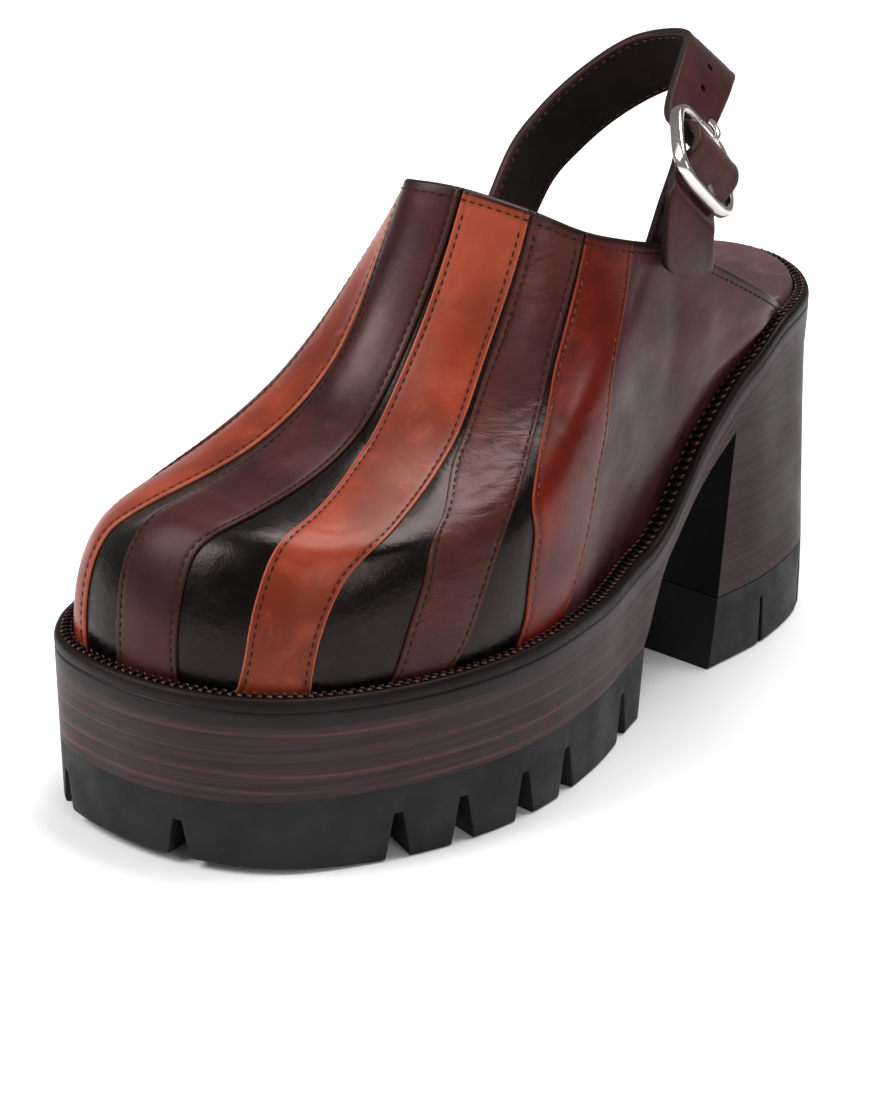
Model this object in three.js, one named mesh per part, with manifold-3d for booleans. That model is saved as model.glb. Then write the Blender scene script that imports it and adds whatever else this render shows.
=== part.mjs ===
// Left slingback platform clog: striped leather upper, stacked platform, block heel, lugged rubber.
// Millimetres, +Z up. The toe points to -Y and the outer (lateral) side of the foot to +X.
// The origin is on the floor, under the middle of the shoe.
import * as THREE from 'three';
import { mergeVertices } from 'three/addons/utils/BufferGeometryUtils.js';
import Module from 'manifold-3d';

const wasm = await Module();
wasm.setup();

// Driving sizes of the sole
const soleLength = 250;
const ballWidth = 110;
const forefootHeight = 46.5;
const heelSeatHeight = 92.5;
const toeSpring = 3;
const weltThickness = 3.6;
const treadHeight = 20;
const liftHeight = 20;
const sideTaper = 0.6;
const heelFlare = 0.8;
const heelTopLength = 60;
const heelFloorLength = 70.5;

// Driving sizes of the upper
const collarHeight = 149;
const wall = 1.8;
const stripeRaise = 0.8;
const seamGroove = 0.7;
const upperRearAlong = 36.5;

// Other pieces
const insoleThickness = 3.4;
const insoleRise = 2.2;
const strapWidth = 20;
const strapThickness = 2.6;
const tabThickness = 2.2;
const tabWidth = 19;
const buckleLength = 25.5;
const buckleWidth = 27.5;
const buckleBand = 2.4;
const buckleDepth = 3.6;
const ringRound = 0.52;
const barRadius = 1.1;
const prongRadius = 0.9;
const clearance = 0.3;
const strapArch = 1;
const strapSlack = 0.35;
const anchorSink = 0.4;
const tabSink = 0.9;

// Lugs
const notchWidth = 4.6;
const notchFlare = 4.4;
const notchHeight = 13;
const notchDepth = 15;
const slitWidth = 1.7;
const slitFlare = 0.6;
const slitHeight = 14;
const slitDepth = 9;
const treadRake = 2.5;
const channelDepth = 2.6;

// Plan of the sole. Shares of soleLength from the heel, and of ballWidth from the middle of the box.
// ledge is how far the upper's edge lies inside the sole's edge, as a share of ballWidth.
const plan = [
  { along: 0.000, lateral: -0.050, medial: -0.050, ledge: 0.047 },
  { along: 0.020, lateral: 0.095, medial: -0.190, ledge: 0.047 },
  { along: 0.080, lateral: 0.232, medial: -0.300, ledge: 0.047 },
  { along: 0.180, lateral: 0.302, medial: -0.338, ledge: 0.045 },
  { along: 0.300, lateral: 0.312, medial: -0.325, ledge: 0.064 },
  { along: 0.420, lateral: 0.362, medial: -0.333, ledge: 0.070 },
  { along: 0.548, lateral: 0.460, medial: -0.386, ledge: 0.055 },
  { along: 0.660, lateral: 0.500, medial: -0.457, ledge: 0.045 },
  { along: 0.760, lateral: 0.476, medial: -0.500, ledge: 0.042 },
  { along: 0.860, lateral: 0.392, medial: -0.486, ledge: 0.045 },
  { along: 0.940, lateral: 0.268, medial: -0.409, ledge: 0.052 },
  { along: 0.984, lateral: 0.110, medial: -0.300, ledge: 0.055 },
  { along: 1.000, lateral: -0.080, medial: -0.080, ledge: 0.055 },
];

// Side line of the sole's top edge. rise runs from 0 at the forefoot to 1 at the heel seat.
const topLine = [
  { along: 0.000, rise: 1.000 },
  { along: 0.100, rise: 1.000 },
  { along: 0.140, rise: 0.985 },
  { along: 0.172, rise: 0.935 },
  { along: 0.200, rise: 0.857 },
  { along: 0.232, rise: 0.765 },
  { along: 0.272, rise: 0.585 },
  { along: 0.308, rise: 0.405 },
  { along: 0.340, rise: 0.225 },
  { along: 0.370, rise: 0.090 },
  { along: 0.410, rise: 0.005 },
  { along: 0.480, rise: -0.018 },
  { along: 0.600, rise: 0.000 },
  { along: 0.860, rise: 0.012 },
  { along: 1.000, rise: 0.045 },
];

// Depth of the platform's underside below the top edge, as a share of forefootHeight.
const arch = [
  { along: 0.000, drop: 0.300 },
  { along: 0.228, drop: 0.300 },
  { along: 0.288, drop: 0.260 },
  { along: 0.344, drop: 0.225 },
  { along: 0.368, drop: 0.225 },
  { along: 0.386, drop: 0.320 },
  { along: 0.404, drop: 0.450 },
  { along: 0.418, drop: 0.600 },
];

// Ribs of the upper, from the outer rear corner round the toe to the inner rear corner.
// side and along place the rib's foot on the feather line; x, back and up place its head on the collar.
// crownIn and crownUp are shares of the rib's run and rise; bulge is a share of ballWidth.
// tilt and headTilt are the slopes at the crown and at the collar, in degrees.
const ribs = [
  { side: 1, along: 0.146, x: 0.305, back: 0.150, up: 0.635, crownIn: 0.5, crownUp: 0.5, bulge: 0.002, tilt: 88, headTilt: 88 },
  { side: 1, along: 0.220, x: 0.322, back: 0.205, up: 0.688, crownIn: 0.5, crownUp: 0.5, bulge: 0.016, tilt: 90, headTilt: 90 },
  { side: 1, along: 0.330, x: 0.328, back: 0.290, up: 0.775, crownIn: 0.5, crownUp: 0.5, bulge: 0.022, tilt: 86, headTilt: 90 },
  { side: 1, along: 0.460, x: 0.332, back: 0.370, up: 0.848, crownIn: 0.3, crownUp: 0.5, bulge: 0.028, tilt: 76, headTilt: 84 },
  { side: 1, along: 0.600, x: 0.325, back: 0.438, up: 0.888, crownIn: 0.14, crownUp: 0.46, bulge: 0.026, tilt: 60, headTilt: 76 },
  { side: 1, along: 0.724, x: 0.288, back: 0.492, up: 0.922, crownIn: 0.16, crownUp: 0.38, bulge: 0.016, tilt: 34, headTilt: 72 },
  { side: 1, along: 0.866, x: 0.205, back: 0.538, up: 0.968, crownIn: 0.18, crownUp: 0.35, bulge: 0.006, tilt: 13, headTilt: 70 },
  { side: 1, along: 0.958, x: 0.060, back: 0.566, up: 0.993, crownIn: 0.19, crownUp: 0.36, bulge: 0.000, tilt: 3, headTilt: 68 },
  { side: 0, along: 0.980, x: -0.065, back: 0.574, up: 0.990, crownIn: 0.17, crownUp: 0.36, bulge: 0.000, tilt: 3, headTilt: 65 },
  { side: -1, along: 0.970, x: -0.150, back: 0.540, up: 0.962, crownIn: 0.13, crownUp: 0.31, bulge: 0.000, tilt: 8, headTilt: 57 },
  { side: -1, along: 0.890, x: -0.235, back: 0.492, up: 0.925, crownIn: 0.12, crownUp: 0.28, bulge: 0.002, tilt: 16, headTilt: 48 },
  { side: -1, along: 0.755, x: -0.295, back: 0.444, up: 0.890, crownIn: 0.12, crownUp: 0.30, bulge: 0.006, tilt: 26, headTilt: 50 },
  { side: -1, along: 0.610, x: -0.322, back: 0.400, up: 0.853, crownIn: 0.14, crownUp: 0.36, bulge: 0.010, tilt: 45, headTilt: 74 },
  { side: -1, along: 0.460, x: -0.334, back: 0.348, up: 0.812, crownIn: 0.3, crownUp: 0.5, bulge: 0.014, tilt: 76, headTilt: 84 },
  { side: -1, along: 0.330, x: -0.338, back: 0.276, up: 0.748, crownIn: 0.5, crownUp: 0.5, bulge: 0.014, tilt: 88, headTilt: 90 },
  { side: -1, along: 0.220, x: -0.336, back: 0.205, up: 0.682, crownIn: 0.5, crownUp: 0.5, bulge: 0.012, tilt: 90, headTilt: 90 },
  { side: -1, along: 0.146, x: -0.325, back: 0.150, up: 0.635, crownIn: 0.5, crownUp: 0.5, bulge: 0.002, tilt: 88, headTilt: 88 },
];

// Seams between the raised stripes. rib is the row of the table above that the seam follows, and the
// seam leans away from it by up to lean rib spaces, between the feather and the height share leanEnd.
// before and after are the half widths of the dark wedge at the feather, as shares of one rib space.
const seams = [
  { rib: 4, before: 0.000, after: 0.000, join: 0.62, lean: -0.24, leanEnd: 1.00 },
  { rib: 5, before: 0.360, after: 0.300, join: 0.62, lean: -0.20, leanEnd: 0.72 },
  { rib: 6, before: 0.250, after: 0.270, join: 0.68, lean: -0.33, leanEnd: 0.68 },
  { rib: 7, before: 0.200, after: 0.430, join: 0.62, lean: 0.00, leanEnd: 1.00 },
  { rib: 9, before: 0.430, after: 0.200, join: 0.62, lean: 0.00, leanEnd: 1.00 },
  { rib: 10, before: 0.270, after: 0.250, join: 0.68, lean: 0.30, leanEnd: 0.68 },
  { rib: 11, before: 0.300, after: 0.360, join: 0.62, lean: 0.20, leanEnd: 0.72 },
  { rib: 12, before: 0.000, after: 0.000, join: 0.62, lean: 0.24, leanEnd: 1.00 },
];
const wedgeFull = 0.40;

// The two corners of the strap's end, outside the outer quarter
const strapTip = {
  front: { x: 0.366, back: 0.408, up: 0.832 },
  rear: { x: 0.366, back: 0.330, up: 0.797 },
};

// Where the tab's two edges lie on the inside of the outer quarter: rib number and height share
const tabAnchor = [
  { frontRib: 3.45, frontV: 0.96, rearRib: 2.45, rearV: 0.96 },
  { frontRib: 3.50, frontV: 0.88, rearRib: 2.55, rearV: 0.86 },
  { frontRib: 3.60, frontV: 0.76, rearRib: 2.70, rearV: 0.72 },
];

// Where the strap's two edges lie on the inside of the upper's inner side: rib number and height share
const strapAnchor = [
  { frontRib: 12.62, frontV: 0.80, rearRib: 13.50, rearV: 0.66 },
  { frontRib: 12.92, frontV: 0.93, rearRib: 13.80, rearV: 0.84 },
];

// The strap's two edges from the inner side round the back to the buckle, as shares of ballWidth,
// soleLength and collarHeight.
const strapRows = [
  { ux: -0.308, ub: 0.298, uu: 0.912, lx: -0.295, lb: 0.232, lu: 0.810 },
  { ux: -0.290, ub: 0.266, uu: 0.962, lx: -0.262, lb: 0.202, lu: 0.864 },
  { ux: -0.255, ub: 0.244, uu: 1.004, lx: -0.222, lb: 0.184, lu: 0.904 },
  { ux: -0.214, ub: 0.225, uu: 1.042, lx: -0.176, lb: 0.168, lu: 0.936 },
  { ux: -0.168, ub: 0.211, uu: 1.075, lx: -0.126, lb: 0.158, lu: 0.962 },
  { ux: -0.118, ub: 0.200, uu: 1.099, lx: -0.075, lb: 0.150, lu: 0.984 },
  { ux: -0.035, ub: 0.194, uu: 1.119, lx: 0.005, lb: 0.146, lu: 1.006 },
  { ux: 0.055, ub: 0.206, uu: 1.128, lx: 0.100, lb: 0.154, lu: 1.036 },
  { ux: 0.130, ub: 0.252, uu: 1.124, lx: 0.172, lb: 0.196, lu: 1.040 },
];

// The buckle's middle and its tilt. along runs up the strap and across runs to the heel.
const buckleAt = { x: 0.336, back: 0.331, up: 0.992 };
const buckleAlong = new THREE.Vector3(-0.587, 0.630, 0.508).normalize();
const buckleAcross = new THREE.Vector3(0.106, 0.680, -0.720).normalize();

// Leather, rubber and metal colours
const colours = {
  rubber: '#2c2b2c', stack: '#46302f', welt: '#241a1b', insole: '#6b5558', brown: '#4f3234',
  strap: '#5a3535', nickel: '#cfc9c4',
};

// Interpolation through a table's rows, with no overshoot
function along(rows, key, x, at = 'along') {
  const n = rows.length;
  if (x <= rows[0][at]) return rows[0][key];
  if (x >= rows[n - 1][at]) return rows[n - 1][key];
  let i = 0;
  while (x > rows[i + 1][at]) i += 1;
  const slope = (k) => (rows[k + 1][key] - rows[k][key]) / (rows[k + 1][at] - rows[k][at]);
  const tangent = (k) => {
    if (k === 0) return slope(0);
    if (k === n - 1) return slope(n - 2);
    const [a, b] = [slope(k - 1), slope(k)];
    return a * b <= 0 ? 0 : (2 * a * b) / (a + b);
  };
  const h = rows[i + 1][at] - rows[i][at];
  const t = (x - rows[i][at]) / h;
  const [t2, t3] = [t * t, t * t * t];
  return (2 * t3 - 3 * t2 + 1) * rows[i][key] + (t3 - 2 * t2 + t) * h * tangent(i)
    + (3 * t2 - 2 * t3) * rows[i + 1][key] + (t3 - t2) * h * tangent(i + 1);
}

// Catmull-Rom value of one column at a fractional row number
function smoothRow(rows, key, r) {
  const n = rows.length - 1;
  const i = Math.min(Math.floor(r), n - 1);
  const t = r - i;
  const value = (k) => rows[Math.max(0, Math.min(n, k))][key];
  const [a, b, c, d] = [value(i - 1), value(i), value(i + 1), value(i + 2)];
  return 0.5 * (2 * b + (c - a) * t + (2 * a - 5 * b + 4 * c - d) * t * t + (3 * b - a - 3 * c + d) * t * t * t);
}

const smoothstep = (a, b, x) => THREE.MathUtils.smoothstep(x, a, b);
const heelY = soleLength / 2;
const yOf = (s) => heelY - s;
const sOf = (y) => heelY - y;

// Heights of the sole's surfaces at a distance s from the heel
const topEdge = (s) => forefootHeight + (heelSeatHeight - forefootHeight) * along(topLine, 'rise', s / soleLength);
const platformTop = (s) => topEdge(s) - weltThickness;
const archStart = arch[arch.length - 1].along * soleLength;
const treadTop = treadHeight;
const platformUnder = (s) => (s >= archStart
  ? treadTop + clearance
  : Math.max(treadTop + clearance, topEdge(s) - forefootHeight * along(arch, 'drop', s / soleLength)));
const treadUnder = (s) => toeSpring * Math.max(0, (s / soleLength - 0.78) / 0.22) ** 2;
const ledge = (s) => ballWidth * along(plan, 'ledge', s / soleLength);

// The sole's plan as a dense closed line, from the heel down the outer side and back up the inner side
function planLine() {
  const last = plan.length - 1;
  const points = plan.map((row) => new THREE.Vector3(row.lateral * ballWidth, yOf(row.along * soleLength), 0));
  for (let i = last - 1; i > 0; i -= 1) {
    points.push(new THREE.Vector3(plan[i].medial * ballWidth, yOf(plan[i].along * soleLength), 0));
  }
  return new THREE.CatmullRomCurve3(points, true, 'centripetal').getPoints(720).slice(0, -1);
}
const outline = planLine();

// The plan's edge moved inwards by a distance that may vary along the shoe
function insetEdge(inset) {
  const n = outline.length;
  const moved = outline.map((p, i) => {
    const a = outline[(i + n - 1) % n];
    const b = outline[(i + 1) % n];
    const inward = new THREE.Vector3(a.y - b.y, b.x - a.x, 0).normalize();
    const amount = typeof inset === 'function' ? inset(sOf(p.y)) : inset;
    return p.clone().addScaledVector(inward, -amount);
  });
  let heel = 0;
  let toe = 0;
  moved.forEach((p, i) => {
    if (p.y > moved[heel].y) heel = i;
    if (p.y < moved[toe].y) toe = i;
  });
  const chain = (from, to, step) => {
    const list = [];
    for (let i = from; i !== to; i = (i + step + n) % n) list.push(moved[i]);
    list.push(moved[to]);
    return list;
  };
  const lateral = chain(heel, toe, 1);
  const medial = chain(heel, toe, -1);
  const xAt = (list, y) => {
    for (let i = 0; i < list.length - 1; i += 1) {
      const [a, b] = [list[i], list[i + 1]];
      if (y <= a.y && y >= b.y) return a.x + ((b.x - a.x) * (a.y - y)) / Math.max(a.y - b.y, 1e-9);
    }
    return y > list[0].y ? list[0].x : list[list.length - 1].x;
  };
  return {
    start: sOf(moved[heel].y),
    end: sOf(moved[toe].y),
    lateral: (s) => xAt(lateral, yOf(s)),
    medial: (s) => xAt(medial, yOf(s)),
  };
}

// Distances from the heel where the sole's pieces are cut: close together where the plan is round
// or the arch is steep. All pieces share them, so that faces that meet are parallel.
const stations = (() => {
  const count = 36;
  const list = [];
  for (let i = 0; i <= count; i += 1) list.push((soleLength * (1 - Math.cos((i / count) * Math.PI))) / 2);
  for (const row of arch.slice(1)) list.push(row.along * soleLength);
  for (const row of topLine.slice(1, -1)) list.push(row.along * soleLength);
  list.sort((p, q) => p - q);
  return list.filter((v, i) => i === 0 || i === list.length - 1 || v - list[i - 1] > 0.8);
})();

// Within these distances of the ends, the stations close up to the end of the piece's own plan
const heelRound = 0.09 * soleLength;
const toeRound = 0.82 * soleLength;

// One closed loop of sole plan: down the outer side, back up the inner side
function planLoop({ edge, from = 0, to = soleLength, zOf, toeFirst = false }) {
  const low = Math.max(edge.start, from);
  const high = Math.min(edge.end, to);
  const list = stations.map((s) => {
    if (s < heelRound) return THREE.MathUtils.mapLinear(s, 0, heelRound, edge.start, heelRound);
    if (s > toeRound) return THREE.MathUtils.mapLinear(s, toeRound, soleLength, toeRound, edge.end);
    return s;
  }).map((s) => THREE.MathUtils.clamp(s, low, high));
  const lateral = list.map((s) => [edge.lateral(s), yOf(s), zOf(s)]);
  const medial = list.map((s) => [edge.medial(s), yOf(s), zOf(s)]);
  const loop = [...lateral, ...medial.reverse()];
  return toeFirst ? loop.reverse() : loop;
}

// Mesh from flat arrays, with doubled corners joined, empty triangles dropped and faces turned outwards
function closedGeometry(positions, triangles) {
  const raw = new THREE.BufferGeometry();
  raw.setAttribute('position', new THREE.Float32BufferAttribute(positions.flat(), 3));
  raw.setIndex(triangles.flat());
  const merged = mergeVertices(raw, 1e-4);
  const index = merged.getIndex().array;
  const p = merged.getAttribute('position');
  const kept = [];
  let volume = 0;
  const [a, b, c] = [new THREE.Vector3(), new THREE.Vector3(), new THREE.Vector3()];
  for (let i = 0; i < index.length; i += 3) {
    const [u, v, w] = [index[i], index[i + 1], index[i + 2]];
    if (u !== v && v !== w && w !== u) {
      kept.push(u, v, w);
      a.fromBufferAttribute(p, u);
      b.fromBufferAttribute(p, v);
      c.fromBufferAttribute(p, w);
      volume += a.dot(b.cross(c));
    }
  }
  if (volume < 0) kept.reverse();
  merged.setIndex(kept);
  merged.computeVertexNormals();
  return merged;
}

// Solid between loops of equal length. Both ends are closed across the shoe, or the loops form a ring.
function loftLoops(loops, ring = false) {
  const n = loops[0].length;
  const positions = loops.flat();
  const triangles = [];
  const last = ring ? loops.length : loops.length - 1;
  for (let k = 0; k < last; k += 1) {
    const base = k * n;
    const next = ((k + 1) % loops.length) * n;
    for (let i = 0; i < n; i += 1) {
      const j = (i + 1) % n;
      triangles.push([base + i, base + j, next + j], [base + i, next + j, next + i]);
    }
  }
  if (!ring) {
    for (const [base, flip] of [[0, true], [(loops.length - 1) * n, false]]) {
      for (let i = 0; i < Math.floor(n / 2) - 1; i += 1) {
        const quad = [base + i, base + i + 1, base + n - 2 - i, base + n - 1 - i];
        const [a, b, c, d] = flip ? quad.reverse() : quad;
        triangles.push([a, b, c], [a, c, d]);
      }
    }
  }
  return closedGeometry(positions, triangles);
}

// Joining and cutting of closed meshes
function toSolid(geometry) {
  const bare = geometry.clone();
  for (const name of Object.keys(bare.attributes)) if (name !== 'position') bare.deleteAttribute(name);
  const merged = mergeVertices(bare, 1e-4);
  return new wasm.Manifold(new wasm.Mesh({
    numProp: 3,
    vertProperties: new Float32Array(merged.getAttribute('position').array),
    triVerts: new Uint32Array(merged.getIndex().array),
  }));
}
function toGeometry(solid) {
  const mesh = solid.getMesh();
  const geometry = new THREE.BufferGeometry();
  geometry.setAttribute('position', new THREE.BufferAttribute(new Float32Array(mesh.vertProperties), 3));
  geometry.setIndex([...mesh.triVerts]);
  geometry.computeVertexNormals();
  return geometry;
}

// Platform: forefoot block, arched waist and heel seat in one
function platformGeometry() {
  const level = (inset, zOf) => planLoop({ edge: insetEdge(inset), zOf });
  return loftLoops([
    level(0.6, platformTop),
    level(0, (s) => platformTop(s) - 1.5),
    level(sideTaper * 0.4, (s) => (platformTop(s) + platformUnder(s)) / 2),
    level(sideTaper, platformUnder),
  ]);
}

const cutterReach = 5;

// Wedge-shaped cutter that stands across the sole's edge at a distance s from the heel
function notchCutter({ side, s, width, flare, height, depth }) {
  const edge = insetEdge(0);
  const step = 2;
  const at = (q) => new THREE.Vector3(side > 0 ? edge.lateral(q) : edge.medial(q), yOf(q), 0);
  const tangent = at(s + step).sub(at(s - step)).normalize();
  const shape = new THREE.Shape([
    new THREE.Vector2(-width / 2 - flare / 2, -cutterReach),
    new THREE.Vector2(width / 2 + flare / 2, -cutterReach),
    new THREE.Vector2(width / 2 - flare / 4, height),
    new THREE.Vector2(-width / 2 + flare / 4, height),
  ]);
  const geometry = new THREE.ExtrudeGeometry(shape, { depth: depth + cutterReach * 2, bevelEnabled: false });
  geometry.translate(0, 0, -depth);
  const outward = new THREE.Vector3(tangent.y, -tangent.x, 0).multiplyScalar(side > 0 ? -1 : 1);
  const across = new THREE.Vector3(0, 0, 1).cross(outward).normalize();
  const frame = new THREE.Matrix4().makeBasis(across, new THREE.Vector3(0, 0, 1), outward);
  frame.setPosition(at(s));
  geometry.applyMatrix4(frame);
  return toSolid(geometry);
}

// Box cutter for a channel across the tread
function channelCutter(s, halfLength, width, depth, centre) {
  const geometry = new THREE.BoxGeometry(halfLength * 2, width, depth * 2);
  geometry.translate(centre, yOf(s), treadUnder(s));
  return toSolid(geometry);
}

// Lugged forefoot rubber
const lateralNotches = [0.475, 0.609, 0.680, 0.762, 0.833];
const medialNotches = [0.475, 0.609, 0.680, 0.762, 0.833, 0.984];
const toeNotch = 0.990;
const channelShare = { wide: 0.33, narrow: 0.24 };
function outsoleGeometry() {
  const rear = (z) => archStart + treadRake * (1 - z / treadTop);
  const level = (inset, zOf, rearZ) => planLoop({ edge: insetEdge(inset), from: rear(rearZ), zOf });
  let solid = toSolid(loftLoops([
    level(sideTaper, () => treadTop, treadTop),
    level(sideTaper + 0.3, () => treadTop / 2, treadTop / 2),
    level(sideTaper + 0.9, treadUnder, 0),
  ]));
  const notch = { width: notchWidth, flare: notchFlare, height: notchHeight, depth: notchDepth };
  for (const share of lateralNotches) {
    solid = solid.subtract(notchCutter({ ...notch, side: 1, s: share * soleLength }));
  }
  for (const share of medialNotches) {
    solid = solid.subtract(notchCutter({ ...notch, side: -1, s: share * soleLength }));
  }
  solid = solid.subtract(notchCutter({ ...notch, side: 1, s: toeNotch * soleLength }));
  for (const share of lateralNotches) {
    const half = ballWidth * (share > 0.55 ? channelShare.wide : channelShare.narrow);
    solid = solid.subtract(channelCutter(share * soleLength, half, notchWidth, channelDepth, 0));
  }
  return toGeometry(solid);
}

// Heel block and its rubber lift share one D-shaped plan
const breastAt = (z) => heelFloorLength + (heelTopLength - heelFloorLength) * Math.min(1, z / (heelSeatHeight * 0.72));
function heelLoop(inset, z, zOf) {
  return planLoop({ edge: insetEdge(inset), to: breastAt(z), zOf });
}
function heelGeometry() {
  const under = (s) => platformUnder(s) - clearance;
  const foot = liftHeight + clearance;
  const mid = (foot + platformUnder(heelTopLength)) / 2;
  return loftLoops([
    heelLoop(sideTaper + 0.2, platformUnder(heelTopLength), under),
    heelLoop(sideTaper - heelFlare * 0.5, mid, () => mid),
    heelLoop(sideTaper - heelFlare, foot, () => foot),
  ]);
}
function liftGeometry() {
  let solid = toSolid(loftLoops([
    heelLoop(sideTaper - heelFlare, liftHeight, () => liftHeight),
    heelLoop(sideTaper - heelFlare, liftHeight / 2, () => liftHeight / 2),
    heelLoop(sideTaper - heelFlare + 0.9, 0, () => 0),
  ]));
  const slit = { width: slitWidth, flare: slitFlare, height: slitHeight, depth: slitDepth };
  for (const side of [1, -1]) {
    solid = solid.subtract(notchCutter({ ...slit, side, s: 0.190 * soleLength }));
    solid = solid.subtract(notchCutter({ ...slit, side, s: 0.085 * soleLength }));
  }
  return toGeometry(solid);
}

// Welt: a strip between the upper and the sole's edge, right round the shoe
function weltGeometry() {
  const inner = (s) => ledge(s) - stripeRaise - clearance;
  const level = (inset, zOf) => planLoop({ edge: insetEdge(inset), zOf });
  return loftLoops([
    level(0.5, (s) => platformTop(s) + clearance),
    level(0, (s) => (platformTop(s) + topEdge(s)) / 2),
    level(0.9, topEdge),
    level(inner, topEdge),
    level(inner, (s) => platformTop(s) + clearance),
  ], true);
}

// Insole: fills the seat at the heel and lies inside the upper's wall farther on
function insoleGeometry() {
  const inUpper = (s) => smoothstep(upperRearAlong - 7, upperRearAlong - 1.2, s);
  const inset = (extra) => (s) => ledge(s) - stripeRaise + extra
    + (stripeRaise + wall + clearance + 0.2) * inUpper(s);
  const level = (extra, lift) => planLoop({
    edge: insetEdge(inset(extra)), zOf: (s) => platformTop(s) + clearance + lift(s),
  });
  const thick = (s) => insoleThickness + insoleRise * (1 - smoothstep(0.1 * soleLength, 0.3 * soleLength, s));
  return loftLoops([
    level(0.9, thick),
    level(0, (s) => thick(s) * 0.7),
    level(0, () => 0),
  ]);
}

// The feather line, where the upper's edge meets the sole
const featherEdge = insetEdge(ledge);
function featherPoint(row) {
  const s = THREE.MathUtils.clamp(row.along * soleLength, featherEdge.start, featherEdge.end);
  const x = row.side > 0 ? featherEdge.lateral(s) : featherEdge.medial(s);
  return new THREE.Vector3(row.side === 0 ? (featherEdge.lateral(featherEdge.end)) : x, yOf(s), 0);
}

// The feather line as a function of the rib number, by distance along the line
const feather = (() => {
  const n = 240;
  const points = [];
  const s0 = upperRearAlong;
  const s1 = featherEdge.end;
  for (let i = 0; i <= n; i += 1) {
    const s = s0 + (s1 - s0) * Math.sin((i / n) * (Math.PI / 2));
    points.push(new THREE.Vector3(featherEdge.lateral(s), yOf(s), 0));
  }
  for (let i = n - 1; i >= 0; i -= 1) {
    const s = s0 + (s1 - s0) * Math.sin((i / n) * (Math.PI / 2));
    points.push(new THREE.Vector3(featherEdge.medial(s), yOf(s), 0));
  }
  const distance = [0];
  for (let i = 1; i < points.length; i += 1) distance.push(distance[i - 1] + points[i].distanceTo(points[i - 1]));
  const nearest = (p) => {
    let best = 0;
    points.forEach((q, i) => {
      if (q.distanceToSquared(p) < points[best].distanceToSquared(p)) best = i;
    });
    return distance[best];
  };
  const rows = ribs.map((row, i) => ({ rib: i, d: nearest(featherPoint(row)) }));
  rows[0].d = 0;
  rows[rows.length - 1].d = distance[distance.length - 1];
  const at = (r) => {
    const d = along(rows, 'd', r, 'rib');
    let i = 0;
    while (i < distance.length - 2 && distance[i + 1] < d) i += 1;
    const t = (d - distance[i]) / Math.max(distance[i + 1] - distance[i], 1e-9);
    return points[i].clone().lerp(points[i + 1], THREE.MathUtils.clamp(t, 0, 1));
  };
  return { at };
})();

const up = new THREE.Vector3(0, 0, 1);
function bezier(a, b, c, d, t) {
  const u = 1 - t;
  return a.clone().multiplyScalar(u * u * u).addScaledVector(b, 3 * u * u * t)
    .addScaledVector(c, 3 * u * t * t).addScaledVector(d, t * t * t);
}

// Outer face of the upper's shell: rib number r, and v from the feather line (0) to the collar (1).
// The wall stands straight beside the welt, curves in to the crown and then runs on to the collar.
const footShare = 0.05;
const footLift = 0.25;
const crownShare = 0.45;
function shellPoint(r, v) {
  const last = ribs.length - 1;
  const rr = THREE.MathUtils.clamp(r, 0, last);
  const foot = feather.at(rr);
  foot.z = platformTop(sOf(foot.y)) + clearance + footLift;
  const head = new THREE.Vector3(
    smoothRow(ribs, 'x', rr) * ballWidth,
    yOf(smoothRow(ribs, 'back', rr) * soleLength),
    smoothRow(ribs, 'up', rr) * collarHeight,
  );
  const before = feather.at(Math.max(0, rr - 0.05));
  const after = feather.at(Math.min(last, rr + 0.05));
  const outward = new THREE.Vector3(before.y - after.y, after.x - before.x, 0).normalize();
  const run = new THREE.Vector3(head.x - foot.x, head.y - foot.y, 0);
  const stand = Math.min(weltThickness + clearance, (head.z - foot.z) * 0.5);
  if (v <= footShare) return foot.addScaledVector(up, (stand * v) / footShare);
  foot.addScaledVector(up, stand);
  const rise = head.z - foot.z;
  const slopeDirection = (degrees) => {
    const angle = THREE.MathUtils.degToRad(degrees);
    return run.clone().normalize().multiplyScalar(Math.cos(angle)).addScaledVector(up, Math.sin(angle));
  };
  const crown = foot.clone().addScaledVector(run, smoothRow(ribs, 'crownIn', rr))
    .addScaledVector(up, rise * smoothRow(ribs, 'crownUp', rr))
    .addScaledVector(outward, ballWidth * smoothRow(ribs, 'bulge', rr));
  const crownDirection = slopeDirection(smoothRow(ribs, 'tilt', rr));
  const headDirection = slopeDirection(smoothRow(ribs, 'headTilt', rr));
  if (v <= crownShare) {
    const reach = foot.distanceTo(crown);
    const lift = (crown.z - foot.z) * 0.55;
    const flat = Math.hypot(crown.x - foot.x, crown.y - foot.y);
    const turned = THREE.MathUtils.lerp(flat * 0.62, reach * 0.33, smoothRow(ribs, 'tilt', rr) / 90);
    const p1 = foot.clone().addScaledVector(up, lift * (1 - smoothRow(ribs, 'tilt', rr) / 200))
      .addScaledVector(outward, ballWidth * smoothRow(ribs, 'bulge', rr) * 0.6);
    const p2 = crown.clone().addScaledVector(crownDirection, -turned);
    return bezier(foot, p1, p2, crown, (v - footShare) / (crownShare - footShare));
  }
  const chord = crown.distanceTo(head);
  const p1 = crown.clone().addScaledVector(crownDirection, chord * 0.48);
  const p2 = head.clone().addScaledVector(headDirection, -chord * 0.48);
  return bezier(crown, p1, p2, head, (v - crownShare) / (1 - crownShare));
}

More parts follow.
